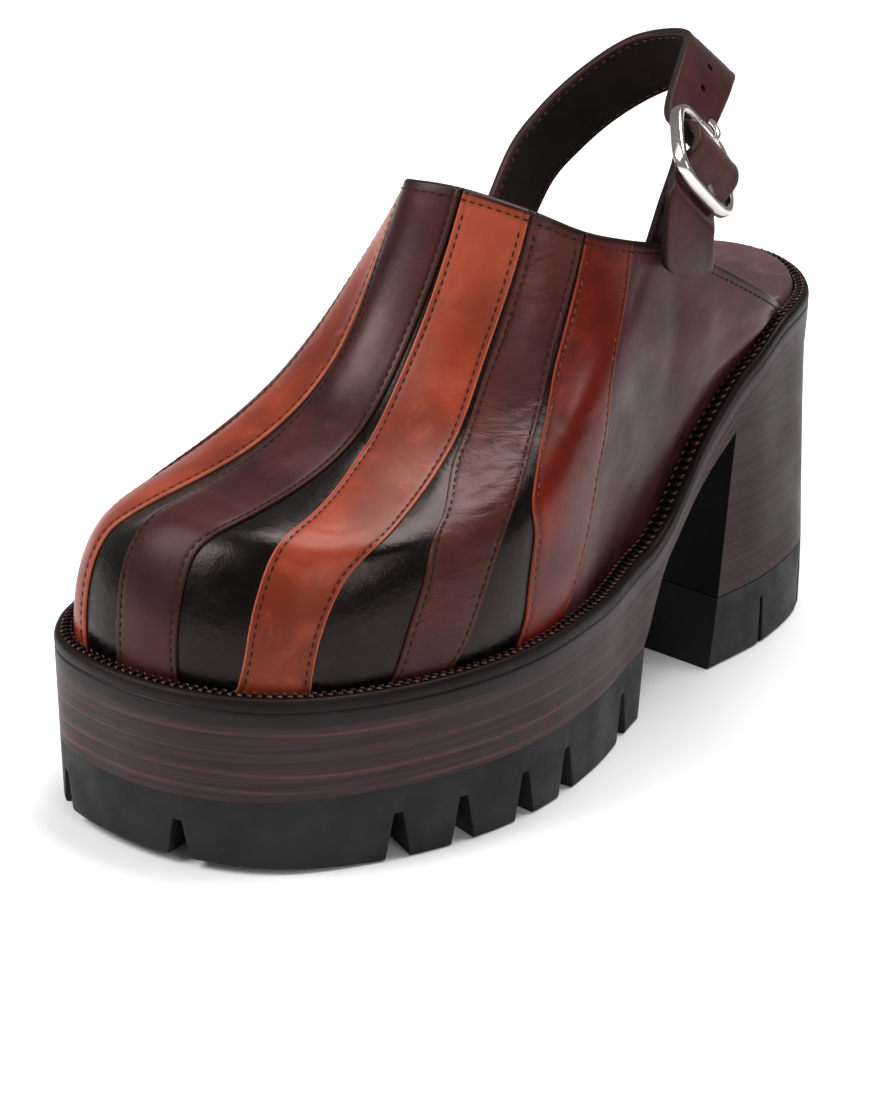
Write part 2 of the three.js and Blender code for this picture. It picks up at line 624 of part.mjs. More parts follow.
// Shell point moved along the surface's own normal
function shellOffset(r, v, distance) {
  const [dr, dv] = [0.04, 0.015];
  const last = ribs.length - 1;
  const acrossRib = shellPoint(Math.min(r + dr, last), v).sub(shellPoint(Math.max(r - dr, 0), v));
  const upRib = shellPoint(r, Math.min(v + dv, 1)).sub(shellPoint(r, Math.max(v - dv, 0)));
  const normal = acrossRib.cross(upRib).normalize();
  return shellPoint(r, v).addScaledVector(normal, -distance);
}

// Columns of the outer face. Each has a rib number that may vary with v, and a raised or plain level.
function shellColumns() {
  const last = ribs.length - 1;
  const columns = [];
  const wedge = (seam, v) => {
    const open = THREE.MathUtils.clamp((seam.join - v) / (seam.join - wedgeFull), 0, 1) ** 0.8;
    return open;
  };
  const seamWidth = seamGroove / 34;
  const line = (seam, v) => seam.rib
    + seam.lean * Math.sin(Math.PI * Math.min(1, v / seam.leanEnd) ** 0.8);
  const edges = seams.map((seam) => ({
    plain: seam.before === 0,
    before: (v) => line(seam, v) - Math.max(seam.before * wedge(seam, v), seam.before > 0 ? seamWidth : 0),
    after: (v) => line(seam, v) + Math.max(seam.after * wedge(seam, v), seam.after > 0 ? seamWidth : 0),
  }));
  const panel = (from, to, count, raised) => {
    for (let i = 0; i <= count; i += 1) {
      columns.push({ rib: (v) => from(v) + ((to(v) - from(v)) * i) / count, raised });
    }
  };
  panel(() => 0, edges[0].before, 10, false);
  for (let k = 0; k < edges.length - 1; k += 1) {
    panel(edges[k].after, edges[k + 1].before, k === 3 ? 6 : 3, true);
    if (!edges[k + 1].plain) panel(edges[k + 1].before, edges[k + 1].after, 2, false);
  }
  panel(edges[edges.length - 1].after, () => last, 10, false);
  return columns;
}

// Upper: one shell, open at the collar, at the heel and underneath
function upperGeometry() {
  const columns = shellColumns();
  const levels = [];
  levels.push(0, footShare);
  for (let i = 1; i <= 8; i += 1) levels.push(footShare + ((crownShare - footShare) * i) / 8);
  for (let i = 1; i <= 11; i += 1) levels.push(crownShare + ((1 - crownShare) * i) / 11);
  const positions = [];
  const m = levels.length;
  for (const column of columns) {
    for (const v of levels) positions.push(shellOffset(column.rib(v), v, column.raised ? stripeRaise : 0).toArray());
  }
  for (const column of columns) {
    for (const v of levels) positions.push(shellOffset(column.rib(v), v, -wall).toArray());
  }
  const n = columns.length;
  const outer = (i, j) => i * m + j;
  const inner = (i, j) => (n + i) * m + j;
  const triangles = [];
  for (let i = 0; i < n - 1; i += 1) {
    for (let j = 0; j < m - 1; j += 1) {
      triangles.push([outer(i, j), outer(i + 1, j), outer(i + 1, j + 1)]);
      triangles.push([outer(i, j), outer(i + 1, j + 1), outer(i, j + 1)]);
      triangles.push([inner(i, j), inner(i + 1, j + 1), inner(i + 1, j)]);
      triangles.push([inner(i, j), inner(i, j + 1), inner(i + 1, j + 1)]);
    }
    triangles.push([outer(i, 0), inner(i, 0), inner(i + 1, 0)], [outer(i, 0), inner(i + 1, 0), outer(i + 1, 0)]);
    const t = m - 1;
    triangles.push([outer(i, t), outer(i + 1, t), inner(i + 1, t)], [outer(i, t), inner(i + 1, t), inner(i, t)]);
  }
  for (let j = 0; j < m - 1; j += 1) {
    triangles.push([outer(0, j), outer(0, j + 1), inner(0, j + 1)], [outer(0, j), inner(0, j + 1), inner(0, j)]);
    const e = n - 1;
    triangles.push([outer(e, j), inner(e, j), inner(e, j + 1)], [outer(e, j), inner(e, j + 1), outer(e, j + 1)]);
  }
  return closedGeometry(positions, triangles);
}

// Band along a run of cross lines. Each row holds the two edges of the band's middle plane.
function bandGeometry(rows, thickness) {
  const loops = [];
  for (let i = 0; i < rows.length; i += 1) {
    const [a, b] = rows[i];
    const before = rows[Math.max(0, i - 1)];
    const after = rows[Math.min(rows.length - 1, i + 1)];
    const forward = after[0].clone().add(after[1]).sub(before[0]).sub(before[1]);
    const width = b.clone().sub(a).normalize();
    const normal = forward.cross(width).normalize();
    const half = thickness / 2;
    const corner = (p, inset, lift) => p.clone().addScaledVector(width, inset).addScaledVector(normal, lift).toArray();
    loops.push([
      corner(a, 0, -half * 0.4), corner(a, 0, half * 0.4), corner(a, 0.7, half), corner(b, -0.7, half),
      corner(b, 0, half * 0.4), corner(b, 0, -half * 0.4), corner(b, -0.7, -half), corner(a, 0.7, -half),
    ]);
  }
  return loftLoops(loops);
}

// Buckle: its middle and the direction out of its plane
const buckleMiddle = new THREE.Vector3(buckleAt.x * ballWidth, yOf(buckleAt.back * soleLength), buckleAt.up * collarHeight);
const buckleOut = buckleAcross.clone().cross(buckleAlong).normalize();
const acrossTrue = buckleAlong.clone().cross(buckleOut).normalize();
const buckleSpot = (alongMm, acrossMm, outMm) => buckleMiddle.clone().addScaledVector(buckleAlong, alongMm)
  .addScaledVector(acrossTrue, acrossMm).addScaledVector(buckleOut, outMm);

// Strap: rises from the inner side, turns behind the heel and comes down through the buckle
const strapUnder = buckleDepth / 2 + clearance + strapThickness / 2 + strapSlack;
const strapOver = barRadius + clearance + strapThickness / 2 + strapArch;
function strapGeometry() {
  const sunk = -(wall + clearance + strapThickness / 2 + anchorSink);
  const rows = strapAnchor.map((row) => [shellOffset(row.frontRib, row.frontV, sunk), shellOffset(row.rearRib, row.rearV, sunk)]);
  for (const row of strapRows) {
    rows.push([
      new THREE.Vector3(row.ux * ballWidth, yOf(row.ub * soleLength), row.uu * collarHeight),
      new THREE.Vector3(row.lx * ballWidth, yOf(row.lb * soleLength), row.lu * collarHeight),
    ]);
  }
  const half = strapWidth / 2;
  const end = buckleLength / 2;
  const throat = end - buckleBand;
  const crest = barRadius * 2 + clearance;
  const stops = [
    { at: end, front: -strapUnder, rear: -strapUnder },
    { at: throat * 0.9, front: strapSlack - strapUnder, rear: strapSlack - strapUnder },
    { at: throat * 0.6, front: -clearance, rear: -clearance },
    { at: crest, front: strapOver, rear: strapOver },
    { at: -crest, front: strapOver, rear: strapOver },
    { at: -throat * 0.6, front: -clearance, rear: -clearance },
    { at: -throat * 0.9, front: strapSlack - strapUnder, rear: strapSlack - strapUnder },
    { at: -end, front: -strapUnder - strapSlack, rear: -strapUnder },
    { at: -end - crest, front: -strapUnder - strapThickness / 2, rear: -strapUnder },
  ];
  for (const stop of stops) {
    rows.push([buckleSpot(stop.at, -half, stop.front), buckleSpot(stop.at, half, stop.rear)]);
  }
  const corner = (place) => new THREE.Vector3(place.x * ballWidth, yOf(place.back * soleLength), place.up * collarHeight);
  rows.push([corner(strapTip.front), corner(strapTip.rear)]);
  const edge = (k) => new THREE.CatmullRomCurve3(rows.map((row) => row[k]), false, 'centripetal');
  const [front, rear] = [edge(0), edge(1)];
  const count = (rows.length - 1) * 3;
  const cross = [];
  for (let i = 0; i <= count; i += 1) {
    const a = front.getPoint(i / count);
    const b = rear.getPoint(i / count);
    const middle = a.clone().add(b).multiplyScalar(0.5);
    const width = b.clone().sub(a).normalize();
    cross.push([middle.clone().addScaledVector(width, -half), middle.clone().addScaledVector(width, half)]);
  }
  return toGeometry(toSolid(bandGeometry(cross, strapThickness)).subtract(prongSolid(clearance)));
}

// Tab: a doubled strip from inside the outer quarter up to the buckle's bar
function tabGeometry() {
  const half = tabWidth / 2;
  const behind = barRadius + clearance + tabThickness / 2;
  const stops = [[0.4, -behind], [-3, -behind]];
  const rows = stops.map(([alongMm, outMm]) => [buckleSpot(alongMm, -half, outMm), buckleSpot(alongMm, half, outMm)]);
  const sunk = -(wall + clearance + tabThickness / 2 + tabSink);
  for (const row of tabAnchor) {
    rows.push([shellOffset(row.frontRib, row.frontV, sunk), shellOffset(row.rearRib, row.rearV, sunk)]);
  }
  rows.splice(2, 0, rows[1].map((p, k) => p.clone().lerp(rows[2][k], 0.5)));
  return bandGeometry(rows, tabThickness);
}

// Ring of the buckle with its middle bar
function frameGeometry() {
  const steps = 36;
  const loops = [];
  const section = [[-1, -0.5], [-1, 0.5], [-0.5, 1], [0.5, 1], [1, 0.5], [1, -0.5], [0.5, -1], [-0.5, -1]];
  for (let i = 0; i < steps; i += 1) {
    const angle = (i / steps) * Math.PI * 2;
    const round = (value) => Math.sign(value) * Math.abs(value) ** ringRound;
    const a = round(Math.cos(angle)) * (buckleLength / 2 - buckleBand / 2);
    const b = round(Math.sin(angle)) * (buckleWidth / 2 - buckleBand / 2);
    const radial = new THREE.Vector2(a / buckleLength ** 2, b / buckleWidth ** 2).normalize();
    loops.push(section.map(([w, h]) => buckleSpot(
      a + (radial.x * w * buckleBand) / 2,
      b + (radial.y * w * buckleBand) / 2,
      (h * buckleDepth) / 2,
    ).toArray()));
  }
  const ring = toSolid(loftLoops(loops, true));
  const bar = new THREE.CylinderGeometry(barRadius, barRadius, buckleWidth - buckleBand, 10);
  const place = new THREE.Matrix4().makeBasis(buckleAlong, acrossTrue, buckleOut.clone().negate());
  place.setPosition(buckleMiddle);
  bar.applyMatrix4(place);
  return toGeometry(ring.add(toSolid(bar)));
}

// Prong: from the bar, through the strap, to rest on the ring's upper end
function prongSolid(grow = 0) {
  const radius = prongRadius + grow;
  const end = buckleLength / 2 - buckleBand / 2;
  const from = buckleSpot(barRadius + clearance + prongRadius, 0, 0);
  const mid = buckleSpot(end / 2, 0, strapOver + strapThickness / 2 - clearance);
  const to = buckleSpot(end + 1, 0, buckleDepth / 2 + clearance + prongRadius);
  const curve = new THREE.CatmullRomCurve3([from, mid, to]);
  const rows = [];
  const circle = 8;
  for (let i = 0; i <= 10; i += 1) {
    const p = curve.getPoint(i / 10);
    const direction = curve.getTangent(i / 10).normalize();
    const lift = direction.clone().cross(acrossTrue).normalize();
    const ring = [];
    for (let k = 0; k < circle; k += 1) {
      const angle = ((k + 0.5) / circle) * Math.PI * 2;
      ring.push(p.clone().addScaledVector(acrossTrue, Math.cos(angle) * radius)
        .addScaledVector(lift, Math.sin(angle) * radius).toArray());
    }
    rows.push(ring);
  }
  return toSolid(loftLoops(rows));
}

const group = new THREE.Group();
function place(name, geometry, color, roughness, metalness = 0) {
  const mesh = new THREE.Mesh(geometry, new THREE.MeshStandardMaterial({ color, roughness, metalness }));
  mesh.name = name;
  group.add(mesh);
}

place('outsole', outsoleGeometry(), colours.rubber, 0.7);
place('platform', platformGeometry(), colours.stack, 0.45);
place('heel', heelGeometry(), colours.stack, 0.45);
place('heel_lift', liftGeometry(), colours.rubber, 0.7);
place('welt', weltGeometry(), colours.welt, 0.6);
place('insole', insoleGeometry(), colours.insole, 0.5);
place('upper', upperGeometry(), colours.brown, 0.35);
place('strap', strapGeometry(), colours.strap, 0.4);
place('buckle_tab', tabGeometry(), colours.strap, 0.4);
place('buckle_frame', frameGeometry(), colours.nickel, 0.15, 1);
place('buckle_prong', toGeometry(prongSolid()), colours.nickel, 0.15, 1);

export default group;
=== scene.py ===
# Left slingback platform clog: striped leather upper, stacked platform, block heel, lugged rubber.
import math

import bpy
import numpy as np
from mathutils import Matrix, Vector


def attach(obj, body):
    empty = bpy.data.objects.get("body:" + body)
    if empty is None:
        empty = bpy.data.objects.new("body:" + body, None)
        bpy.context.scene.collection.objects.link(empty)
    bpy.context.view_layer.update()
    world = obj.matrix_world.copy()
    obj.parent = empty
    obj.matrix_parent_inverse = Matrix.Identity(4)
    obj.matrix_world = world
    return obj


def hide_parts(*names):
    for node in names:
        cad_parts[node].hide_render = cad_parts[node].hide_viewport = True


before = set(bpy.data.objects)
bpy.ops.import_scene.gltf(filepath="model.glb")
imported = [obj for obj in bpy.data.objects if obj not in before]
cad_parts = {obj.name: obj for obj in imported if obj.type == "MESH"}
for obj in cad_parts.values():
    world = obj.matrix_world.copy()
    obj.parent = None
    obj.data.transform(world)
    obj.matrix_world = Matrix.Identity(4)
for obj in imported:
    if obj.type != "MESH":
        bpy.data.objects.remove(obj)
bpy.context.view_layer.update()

MM = 0.001

# Driving sizes in millimetres
SOLE_LENGTH, BALL_WIDTH = 250.0, 110.0
FOREFOOT_HEIGHT, HEEL_SEAT_HEIGHT, COLLAR_HEIGHT = 46.5, 92.5, 149.0
TOE_SPRING, WELT_THICKNESS = 3.0, 3.6
TREAD_HEIGHT, LIFT_HEIGHT = 20.0, 20.0
SIDE_TAPER, HEEL_FLARE = 0.6, 0.8
HEEL_TOP_LENGTH, HEEL_FLOOR_LENGTH = 60.0, 70.5
WALL, STRIPE_RAISE = 1.8, 0.8
UPPER_REAR = 36.5
INSOLE_THICKNESS, INSOLE_RISE = 3.4, 2.2
STRAP_WIDTH, STRAP_THICKNESS = 20.0, 2.6
TAB_WIDTH, TAB_THICKNESS = 19.0, 2.2
BUCKLE_LENGTH, BUCKLE_WIDTH, BUCKLE_BAND, BUCKLE_DEPTH = 25.5, 27.5, 2.4, 3.6
BAR_RADIUS, PRONG_RADIUS, CLEARANCE = 1.1, 0.9, 0.3
RING_ROUND = 0.52
NOTCH_WIDTH, NOTCH_FLARE, NOTCH_HEIGHT, NOTCH_DEPTH = 4.6, 4.4, 13.0, 15.0
SLIT_WIDTH, TREAD_RAKE, CHANNEL_DEPTH = 1.7, 2.5, 2.6
HEEL_Y = SOLE_LENGTH / 2

# Spare holes of the strap: how far each is from the ring's middle, and their radius
STRAP_HOLES, HOLE_RADIUS = (31.3, 40.5), 1.1

# Slack of the strap in the ring, its arch over the bar, and how far its tail drops
STRAP_SLACK, BAR_ARCH, TAIL_DROP = 0.35, 1.0, 1.3

# Gap that the strap's and the tab's fixed ends leave under the upper's lining
STRAP_GAP, TAB_GAP = 0.4, 0.9

# The insole narrows into the upper: how far ahead of its rear corner it starts, and over what length
STEP_AHEAD, STEP_LENGTH = 7, 5.8

# Thread of the strap: in from its edges, and where it stops before the tip
STRAP_INSET, STRAP_SEWN_END = 1.5, 42

# How far a notch's cutter stands out past the edge, and its foot's height
CUTTER_OUT, CUTTER_FOOT = 12, -5

# Rounding of the welt's outer top edge, rise of the collar's rim, groove under the collar's thread
WELT_ROUND, RIM_RISE, GROOVE_DEPTH, GROOVE_HALF = 0.85, 0.9, 0.15, 0.5

# Plan of the sole: share of the length from the heel, outer and inner edge, and the upper's ledge,
# as shares of the ball width
PLAN = np.array([
    (0.000, -0.050, -0.050, 0.047), (0.020, 0.095, -0.190, 0.047), (0.080, 0.232, -0.300, 0.047),
    (0.180, 0.302, -0.338, 0.045), (0.300, 0.312, -0.325, 0.064), (0.420, 0.362, -0.333, 0.070),
    (0.548, 0.460, -0.386, 0.055), (0.660, 0.500, -0.457, 0.045), (0.760, 0.476, -0.500, 0.042),
    (0.860, 0.392, -0.486, 0.045), (0.940, 0.268, -0.409, 0.052), (0.984, 0.110, -0.300, 0.055),
    (1.000, -0.080, -0.080, 0.055)])

# Side line of the sole's top edge: share of the length, and rise from forefoot to heel seat
TOP_LINE = np.array([
    (0.000, 1.000), (0.100, 1.000), (0.140, 0.985), (0.172, 0.935), (0.200, 0.857), (0.232, 0.765),
    (0.272, 0.585), (0.308, 0.405), (0.340, 0.225), (0.370, 0.090), (0.410, 0.005), (0.480, -0.018),
    (0.600, 0.000), (0.860, 0.012), (1.000, 0.045)])

# Depth of the platform's underside below the top edge, as a share of the forefoot height
ARCH = np.array([
    (0.000, 0.300), (0.228, 0.300), (0.288, 0.260), (0.344, 0.225), (0.368, 0.225), (0.386, 0.320),
    (0.404, 0.450), (0.418, 0.600)])

# Ribs of the upper from the outer rear corner round the toe to the inner one: side, share of the
# length at its foot, head on the collar (x, back, up), crown (in, up), bulge, slopes at crown and collar
RIBS = np.array([
    (1, 0.146, 0.268, 0.150, 0.630, 0.50, 0.50, 0.002, 88, 88),
    (1, 0.220, 0.322, 0.205, 0.688, 0.50, 0.50, 0.016, 90, 90),
    (1, 0.330, 0.328, 0.290, 0.775, 0.50, 0.50, 0.022, 86, 90),
    (1, 0.460, 0.332, 0.370, 0.848, 0.30, 0.50, 0.028, 76, 84),
    (1, 0.600, 0.325, 0.438, 0.888, 0.14, 0.46, 0.026, 60, 76),
    (1, 0.724, 0.288, 0.492, 0.922, 0.16, 0.38, 0.016, 34, 72),
    (1, 0.866, 0.205, 0.538, 0.968, 0.18, 0.35, 0.006, 13, 70),
    (1, 0.958, 0.060, 0.566, 0.993, 0.19, 0.36, 0.000, 3, 68),
    (0, 0.980, -0.065, 0.574, 0.990, 0.17, 0.36, 0.000, 3, 65),
    (-1, 0.970, -0.150, 0.540, 0.962, 0.13, 0.31, 0.000, 8, 57),
    (-1, 0.890, -0.235, 0.492, 0.925, 0.12, 0.28, 0.002, 16, 48),
    (-1, 0.755, -0.295, 0.444, 0.890, 0.12, 0.30, 0.006, 26, 50),
    (-1, 0.610, -0.322, 0.400, 0.853, 0.14, 0.36, 0.010, 45, 74),
    (-1, 0.460, -0.334, 0.348, 0.812, 0.30, 0.50, 0.014, 76, 84),
    (-1, 0.330, -0.338, 0.276, 0.748, 0.50, 0.50, 0.014, 88, 90),
    (-1, 0.220, -0.336, 0.205, 0.682, 0.50, 0.50, 0.012, 90, 90),
    (-1, 0.146, -0.288, 0.150, 0.630, 0.50, 0.50, 0.002, 88, 88)])
(SIDE, FOOT_ALONG, HEAD_X, HEAD_BACK, HEAD_UP, CROWN_IN, CROWN_UP, BULGE, TILT, HEAD_TILT) = range(10)
LAST_RIB = len(RIBS) - 1

# Raised stripes: their two edges as rib numbers, at these height shares
SEAM_HEIGHTS = (0.00, 0.12, 0.28, 0.46, 0.62, 0.80, 1.00)
STRIPES = (
    ("rust", (4.10, 3.80, 3.70, 3.70, 3.83, 3.95, 3.98), (4.68, 4.55, 4.55, 4.74, 4.97, 5.11, 4.985)),
    ("brown", (5.35, 5.13, 5.00, 4.93, 5.07, 5.17, 5.015), (5.75, 5.63, 5.55, 5.61, 5.93, 6.05, 5.905)),
    ("tan", (6.27, 6.22, 6.12, 5.95, 6.01, 6.10, 5.935), (6.80, 6.70, 6.68, 6.68, 6.87, 7.02, 6.935)),
    ("dark_brown", (7.28, 7.32, 7.34, 7.11, 7.06, 7.10, 6.96), (8.28, 8.32, 8.43, 8.40, 8.36, 8.29, 8.68)),
    ("tan", (9.12, 9.16, 9.20, 9.18, 8.80, 8.38, 8.76), (9.73, 9.78, 9.88, 10.05, 9.99, 9.88, 10.04)),
    ("brown", (10.25, 10.37, 10.45, 10.39, 10.07, 9.95, 10.095),
     (10.65, 10.82, 10.92, 10.98, 10.90, 10.84, 10.985)),
    ("rust", (11.20, 11.28, 11.33, 11.22, 11.04, 10.94, 11.05),
     (12.05, 12.16, 12.22, 12.22, 12.13, 12.04, 12.015)))

# The strap's two edges round the heel: shares of ball width, sole length and collar height
STRAP_ROWS = (
    (-0.308, 0.298, 0.912, -0.295, 0.232, 0.810), (-0.290, 0.266, 0.962, -0.262, 0.202, 0.864),
    (-0.255, 0.244, 1.004, -0.222, 0.184, 0.904), (-0.214, 0.225, 1.042, -0.176, 0.168, 0.936),
    (-0.168, 0.211, 1.075, -0.126, 0.158, 0.962), (-0.118, 0.200, 1.099, -0.075, 0.150, 0.984),
    (-0.035, 0.194, 1.119, 0.005, 0.146, 1.006), (0.055, 0.206, 1.128, 0.100, 0.154, 1.036),
    (0.130, 0.252, 1.124, 0.172, 0.196, 1.040))

# Fixed ends of the strap and the tab: rib number and height share of the front edge, then of the rear one
STRAP_ANCHOR = ((12.62, 0.80, 13.50, 0.66), (12.92, 0.93, 13.80, 0.84))
TAB_ANCHOR = ((3.45, 0.96, 2.45, 0.96), (3.50, 0.88, 2.55, 0.86), (3.60, 0.76, 2.70, 0.72))

# The strap's tip at its two edges, in the same shares as its rows
STRAP_TIP = ((0.366, 0.408, 0.832), (0.366, 0.330, 0.797))

# Notches round the tread's edge, as shares of the length
LATERAL_NOTCHES = (0.475, 0.609, 0.680, 0.762, 0.833)
MEDIAL_NOTCHES = (0.475, 0.609, 0.680, 0.762, 0.833, 0.984)


def unit(v):
    return v / np.maximum(np.linalg.norm(v, axis=-1, keepdims=True), 1e-12)


# Soft step from 0 to 1
def ease(t):
    t = np.clip(t, 0, 1)
    return t * t * (3 - 2 * t)


# A point from its shares of the ball width, the sole length and the collar height
def from_shares(x, back, up):
    return np.stack([x * BALL_WIDTH, HEEL_Y - back * SOLE_LENGTH, up * COLLAR_HEIGHT], -1)


# Distance along a polyline at each of its points
def run_length(line):
    return np.concatenate([[0], np.cumsum(np.linalg.norm(np.diff(line, axis=0), axis=1))])


# Points of a polyline at given distances along it
def points_at(distance, length, line):
    return np.stack([np.interp(distance, length, line[:, k]) for k in range(line.shape[1])], -1)


# Curve through points with no overshoot
def smooth_curve(x, xs, ys):
    x = np.clip(x, xs[0], xs[-1])
    slope = np.diff(ys) / np.diff(xs)
    tangent = np.empty(len(xs))
    tangent[0], tangent[-1] = slope[0], slope[-1]
    a, b = slope[:-1], slope[1:]
    product = a * b
    total = np.where(product > 0, a + b, 1.0)
    tangent[1:-1] = np.where(product > 0, 2 * product / total, 0.0)
    i = np.clip(np.searchsorted(xs, x, side="right") - 1, 0, len(xs) - 2)
    h = xs[i + 1] - xs[i]
    t = (x - xs[i]) / h
    return ((2 * t**3 - 3 * t**2 + 1) * ys[i] + (t**3 - 2 * t**2 + t) * h * tangent[i]
            + (3 * t**2 - 2 * t**3) * ys[i + 1] + (t**3 - t**2) * h * tangent[i + 1])


# Value of one rib column at a fractional rib number
def rib_value(column, r):
    y = RIBS[:, column]
    i = np.minimum(np.floor(r).astype(int), LAST_RIB - 1)
    t = r - i
    a, b, c, d = (y[np.clip(i + k, 0, LAST_RIB)] for k in (-1, 0, 1, 2))
    return 0.5 * (2 * b + (c - a) * t + (2 * a - 5 * b + 4 * c - d) * t**2 + (3 * b - a - 3 * c + d) * t**3)


# Centripetal curve through points, at parameters from 0 to 1
def curve_points(points, t, closed=False):
    points = np.asarray(points, float)
    n = len(points)
    p = t * (n if closed else n - 1)
    i = np.floor(p).astype(int)
    if not closed:
        i = np.minimum(i, n - 2)
    w = (p - i)[:, None]
    if closed:
        p0, p1, p2, p3 = (points[(i + k) % n] for k in (-1, 0, 1, 2))
    else:
        more = np.vstack([2 * points[0] - points[1], points, 2 * points[-1] - points[-2]])
        p0, p1, p2, p3 = (more[i + k] for k in (0, 1, 2, 3))
    d0, d1, d2 = (np.maximum(np.linalg.norm(b - a, axis=1), 1e-6)[:, None] ** 0.5
                  for a, b in ((p0, p1), (p1, p2), (p2, p3)))
    t1 = ((p1 - p0) / d0 - (p2 - p0) / (d0 + d1) + (p2 - p1) / d1) * d1
    t2 = ((p2 - p1) / d1 - (p3 - p1) / (d1 + d2) + (p3 - p2) / d2) * d1
    return (p1 + t1 * w + (-3 * p1 + 3 * p2 - 2 * t1 - t2) * w**2 + (2 * p1 - 2 * p2 + t1 + t2) * w**3)


def top_edge(s):
    rise = smooth_curve(s / SOLE_LENGTH, TOP_LINE[:, 0], TOP_LINE[:, 1])
    return FOREFOOT_HEIGHT + (HEEL_SEAT_HEIGHT - FOREFOOT_HEIGHT) * rise


def platform_top(s):
    return top_edge(s) - WELT_THICKNESS


ARCH_START = ARCH[-1, 0] * SOLE_LENGTH


def platform_under(s):
    drop = FOREFOOT_HEIGHT * smooth_curve(s / SOLE_LENGTH, ARCH[:, 0], ARCH[:, 1])
    arched = np.maximum(TREAD_HEIGHT + CLEARANCE, top_edge(s) - drop)
    return np.where(s >= ARCH_START, TREAD_HEIGHT + CLEARANCE, arched)


def tread_under(s):
    return TOE_SPRING * np.maximum(0, (s / SOLE_LENGTH - 0.78) / 0.22) ** 2


def ledge(s):
    return BALL_WIDTH * smooth_curve(s / SOLE_LENGTH, PLAN[:, 0], PLAN[:, 3])


def plan_outline():
    outer = np.stack([PLAN[:, 1] * BALL_WIDTH, HEEL_Y - PLAN[:, 0] * SOLE_LENGTH], 1)
    inner = np.stack([PLAN[1:-1, 2] * BALL_WIDTH, HEEL_Y - PLAN[1:-1, 0] * SOLE_LENGTH], 1)[::-1]
    return curve_points(np.vstack([outer, inner]), np.arange(1440) / 1440, closed=True)


OUTLINE = plan_outline()


# The plan's edge moved inwards, as outer and inner x at a distance s from the heel
class Edge:
    def __init__(self, inset):
        before, after = np.roll(OUTLINE, 1, 0), np.roll(OUTLINE, -1, 0)
        out = unit(np.stack([before[:, 1] - after[:, 1], after[:, 0] - before[:, 0]], 1))
        amount = inset(HEEL_Y - OUTLINE[:, 1]) if callable(inset) else np.full(len(OUTLINE), inset)
        moved = OUTLINE - out * amount[:, None]
        n = len(moved)
        heel, toe = int(np.argmax(moved[:, 1])), int(np.argmin(moved[:, 1]))
        self.outer = moved[np.arange(heel, heel + (toe - heel) % n + 1) % n]
        self.inner = moved[np.arange(heel, heel - (heel - toe) % n - 1, -1) % n]
        self.start, self.end = HEEL_Y - moved[heel, 1], HEEL_Y - moved[toe, 1]

    def lateral(self, s):
        return np.interp(s, HEEL_Y - self.outer[:, 1], self.outer[:, 0])

    def medial(self, s):
        return np.interp(s, HEEL_Y - self.inner[:, 1], self.inner[:, 0])


# One loop of sole plan: down the outer side and back up the inner side
def plan_loop(inset, z_of, low=None, high=None, count=110):
    edge = Edge(inset)
    a = edge.start if low is None else low
    b = edge.end if high is None else high
    t = np.linspace(0, 1, count)
    if low is None and high is None:
        s = a + (b - a) * (1 - np.cos(np.pi * t)) / 2
    elif high is None:
        s = a + (b - a) * np.sin(np.pi / 2 * t)
    else:
        s = a + (b - a) * (1 - np.cos(np.pi / 2 * t))
    z = z_of(s) if callable(z_of) else np.full(count, float(z_of))
    outer = np.stack([edge.lateral(s), HEEL_Y - s, z], 1)
    inner = np.stack([edge.medial(s), HEEL_Y - s, z], 1)
    return np.vstack([outer, inner[::-1]])


# The feather line, where the upper meets the sole
FEATHER_EDGE = Edge(ledge)


def feather_line():
    n = 400
    s = UPPER_REAR + (FEATHER_EDGE.end - UPPER_REAR) * np.sin(np.arange(n + 1) / n * np.pi / 2)
    outer = np.stack([FEATHER_EDGE.lateral(s), HEEL_Y - s], 1)
    inner = np.stack([FEATHER_EDGE.medial(s), HEEL_Y - s], 1)[::-1][1:]
    line = np.vstack([outer, inner])
    distance = run_length(line)
    at = []
    for row in RIBS:
        s = np.clip(row[FOOT_ALONG] * SOLE_LENGTH, FEATHER_EDGE.start, FEATHER_EDGE.end)
        x = FEATHER_EDGE.medial(s) if row[SIDE] < 0 else FEATHER_EDGE.lateral(s)
        if row[SIDE] == 0:
            x = FEATHER_EDGE.lateral(FEATHER_EDGE.end)
        at.append(distance[np.argmin(np.hypot(line[:, 0] - x, line[:, 1] - (HEEL_Y - s)))])
    at[0], at[-1] = 0.0, distance[-1]
    return line, distance, np.array(at)


FEATHER, FEATHER_DISTANCE, RIB_DISTANCE = feather_line()
RIB_NUMBERS = np.arange(LAST_RIB + 1, dtype=float)


def feather_at(r):
    d = smooth_curve(r, RIB_NUMBERS, RIB_DISTANCE)
    return points_at(d, FEATHER_DISTANCE, FEATHER)


FOOT_SHARE, CROWN_SHARE, FOOT_LIFT = 0.05, 0.45, 0.25


def bezier(a, b, c, d, t):
    t = t[..., None]
    u = 1 - t
    return a * u**3 + b * 3 * u**2 * t + c * 3 * u * t**2 + d * t**3


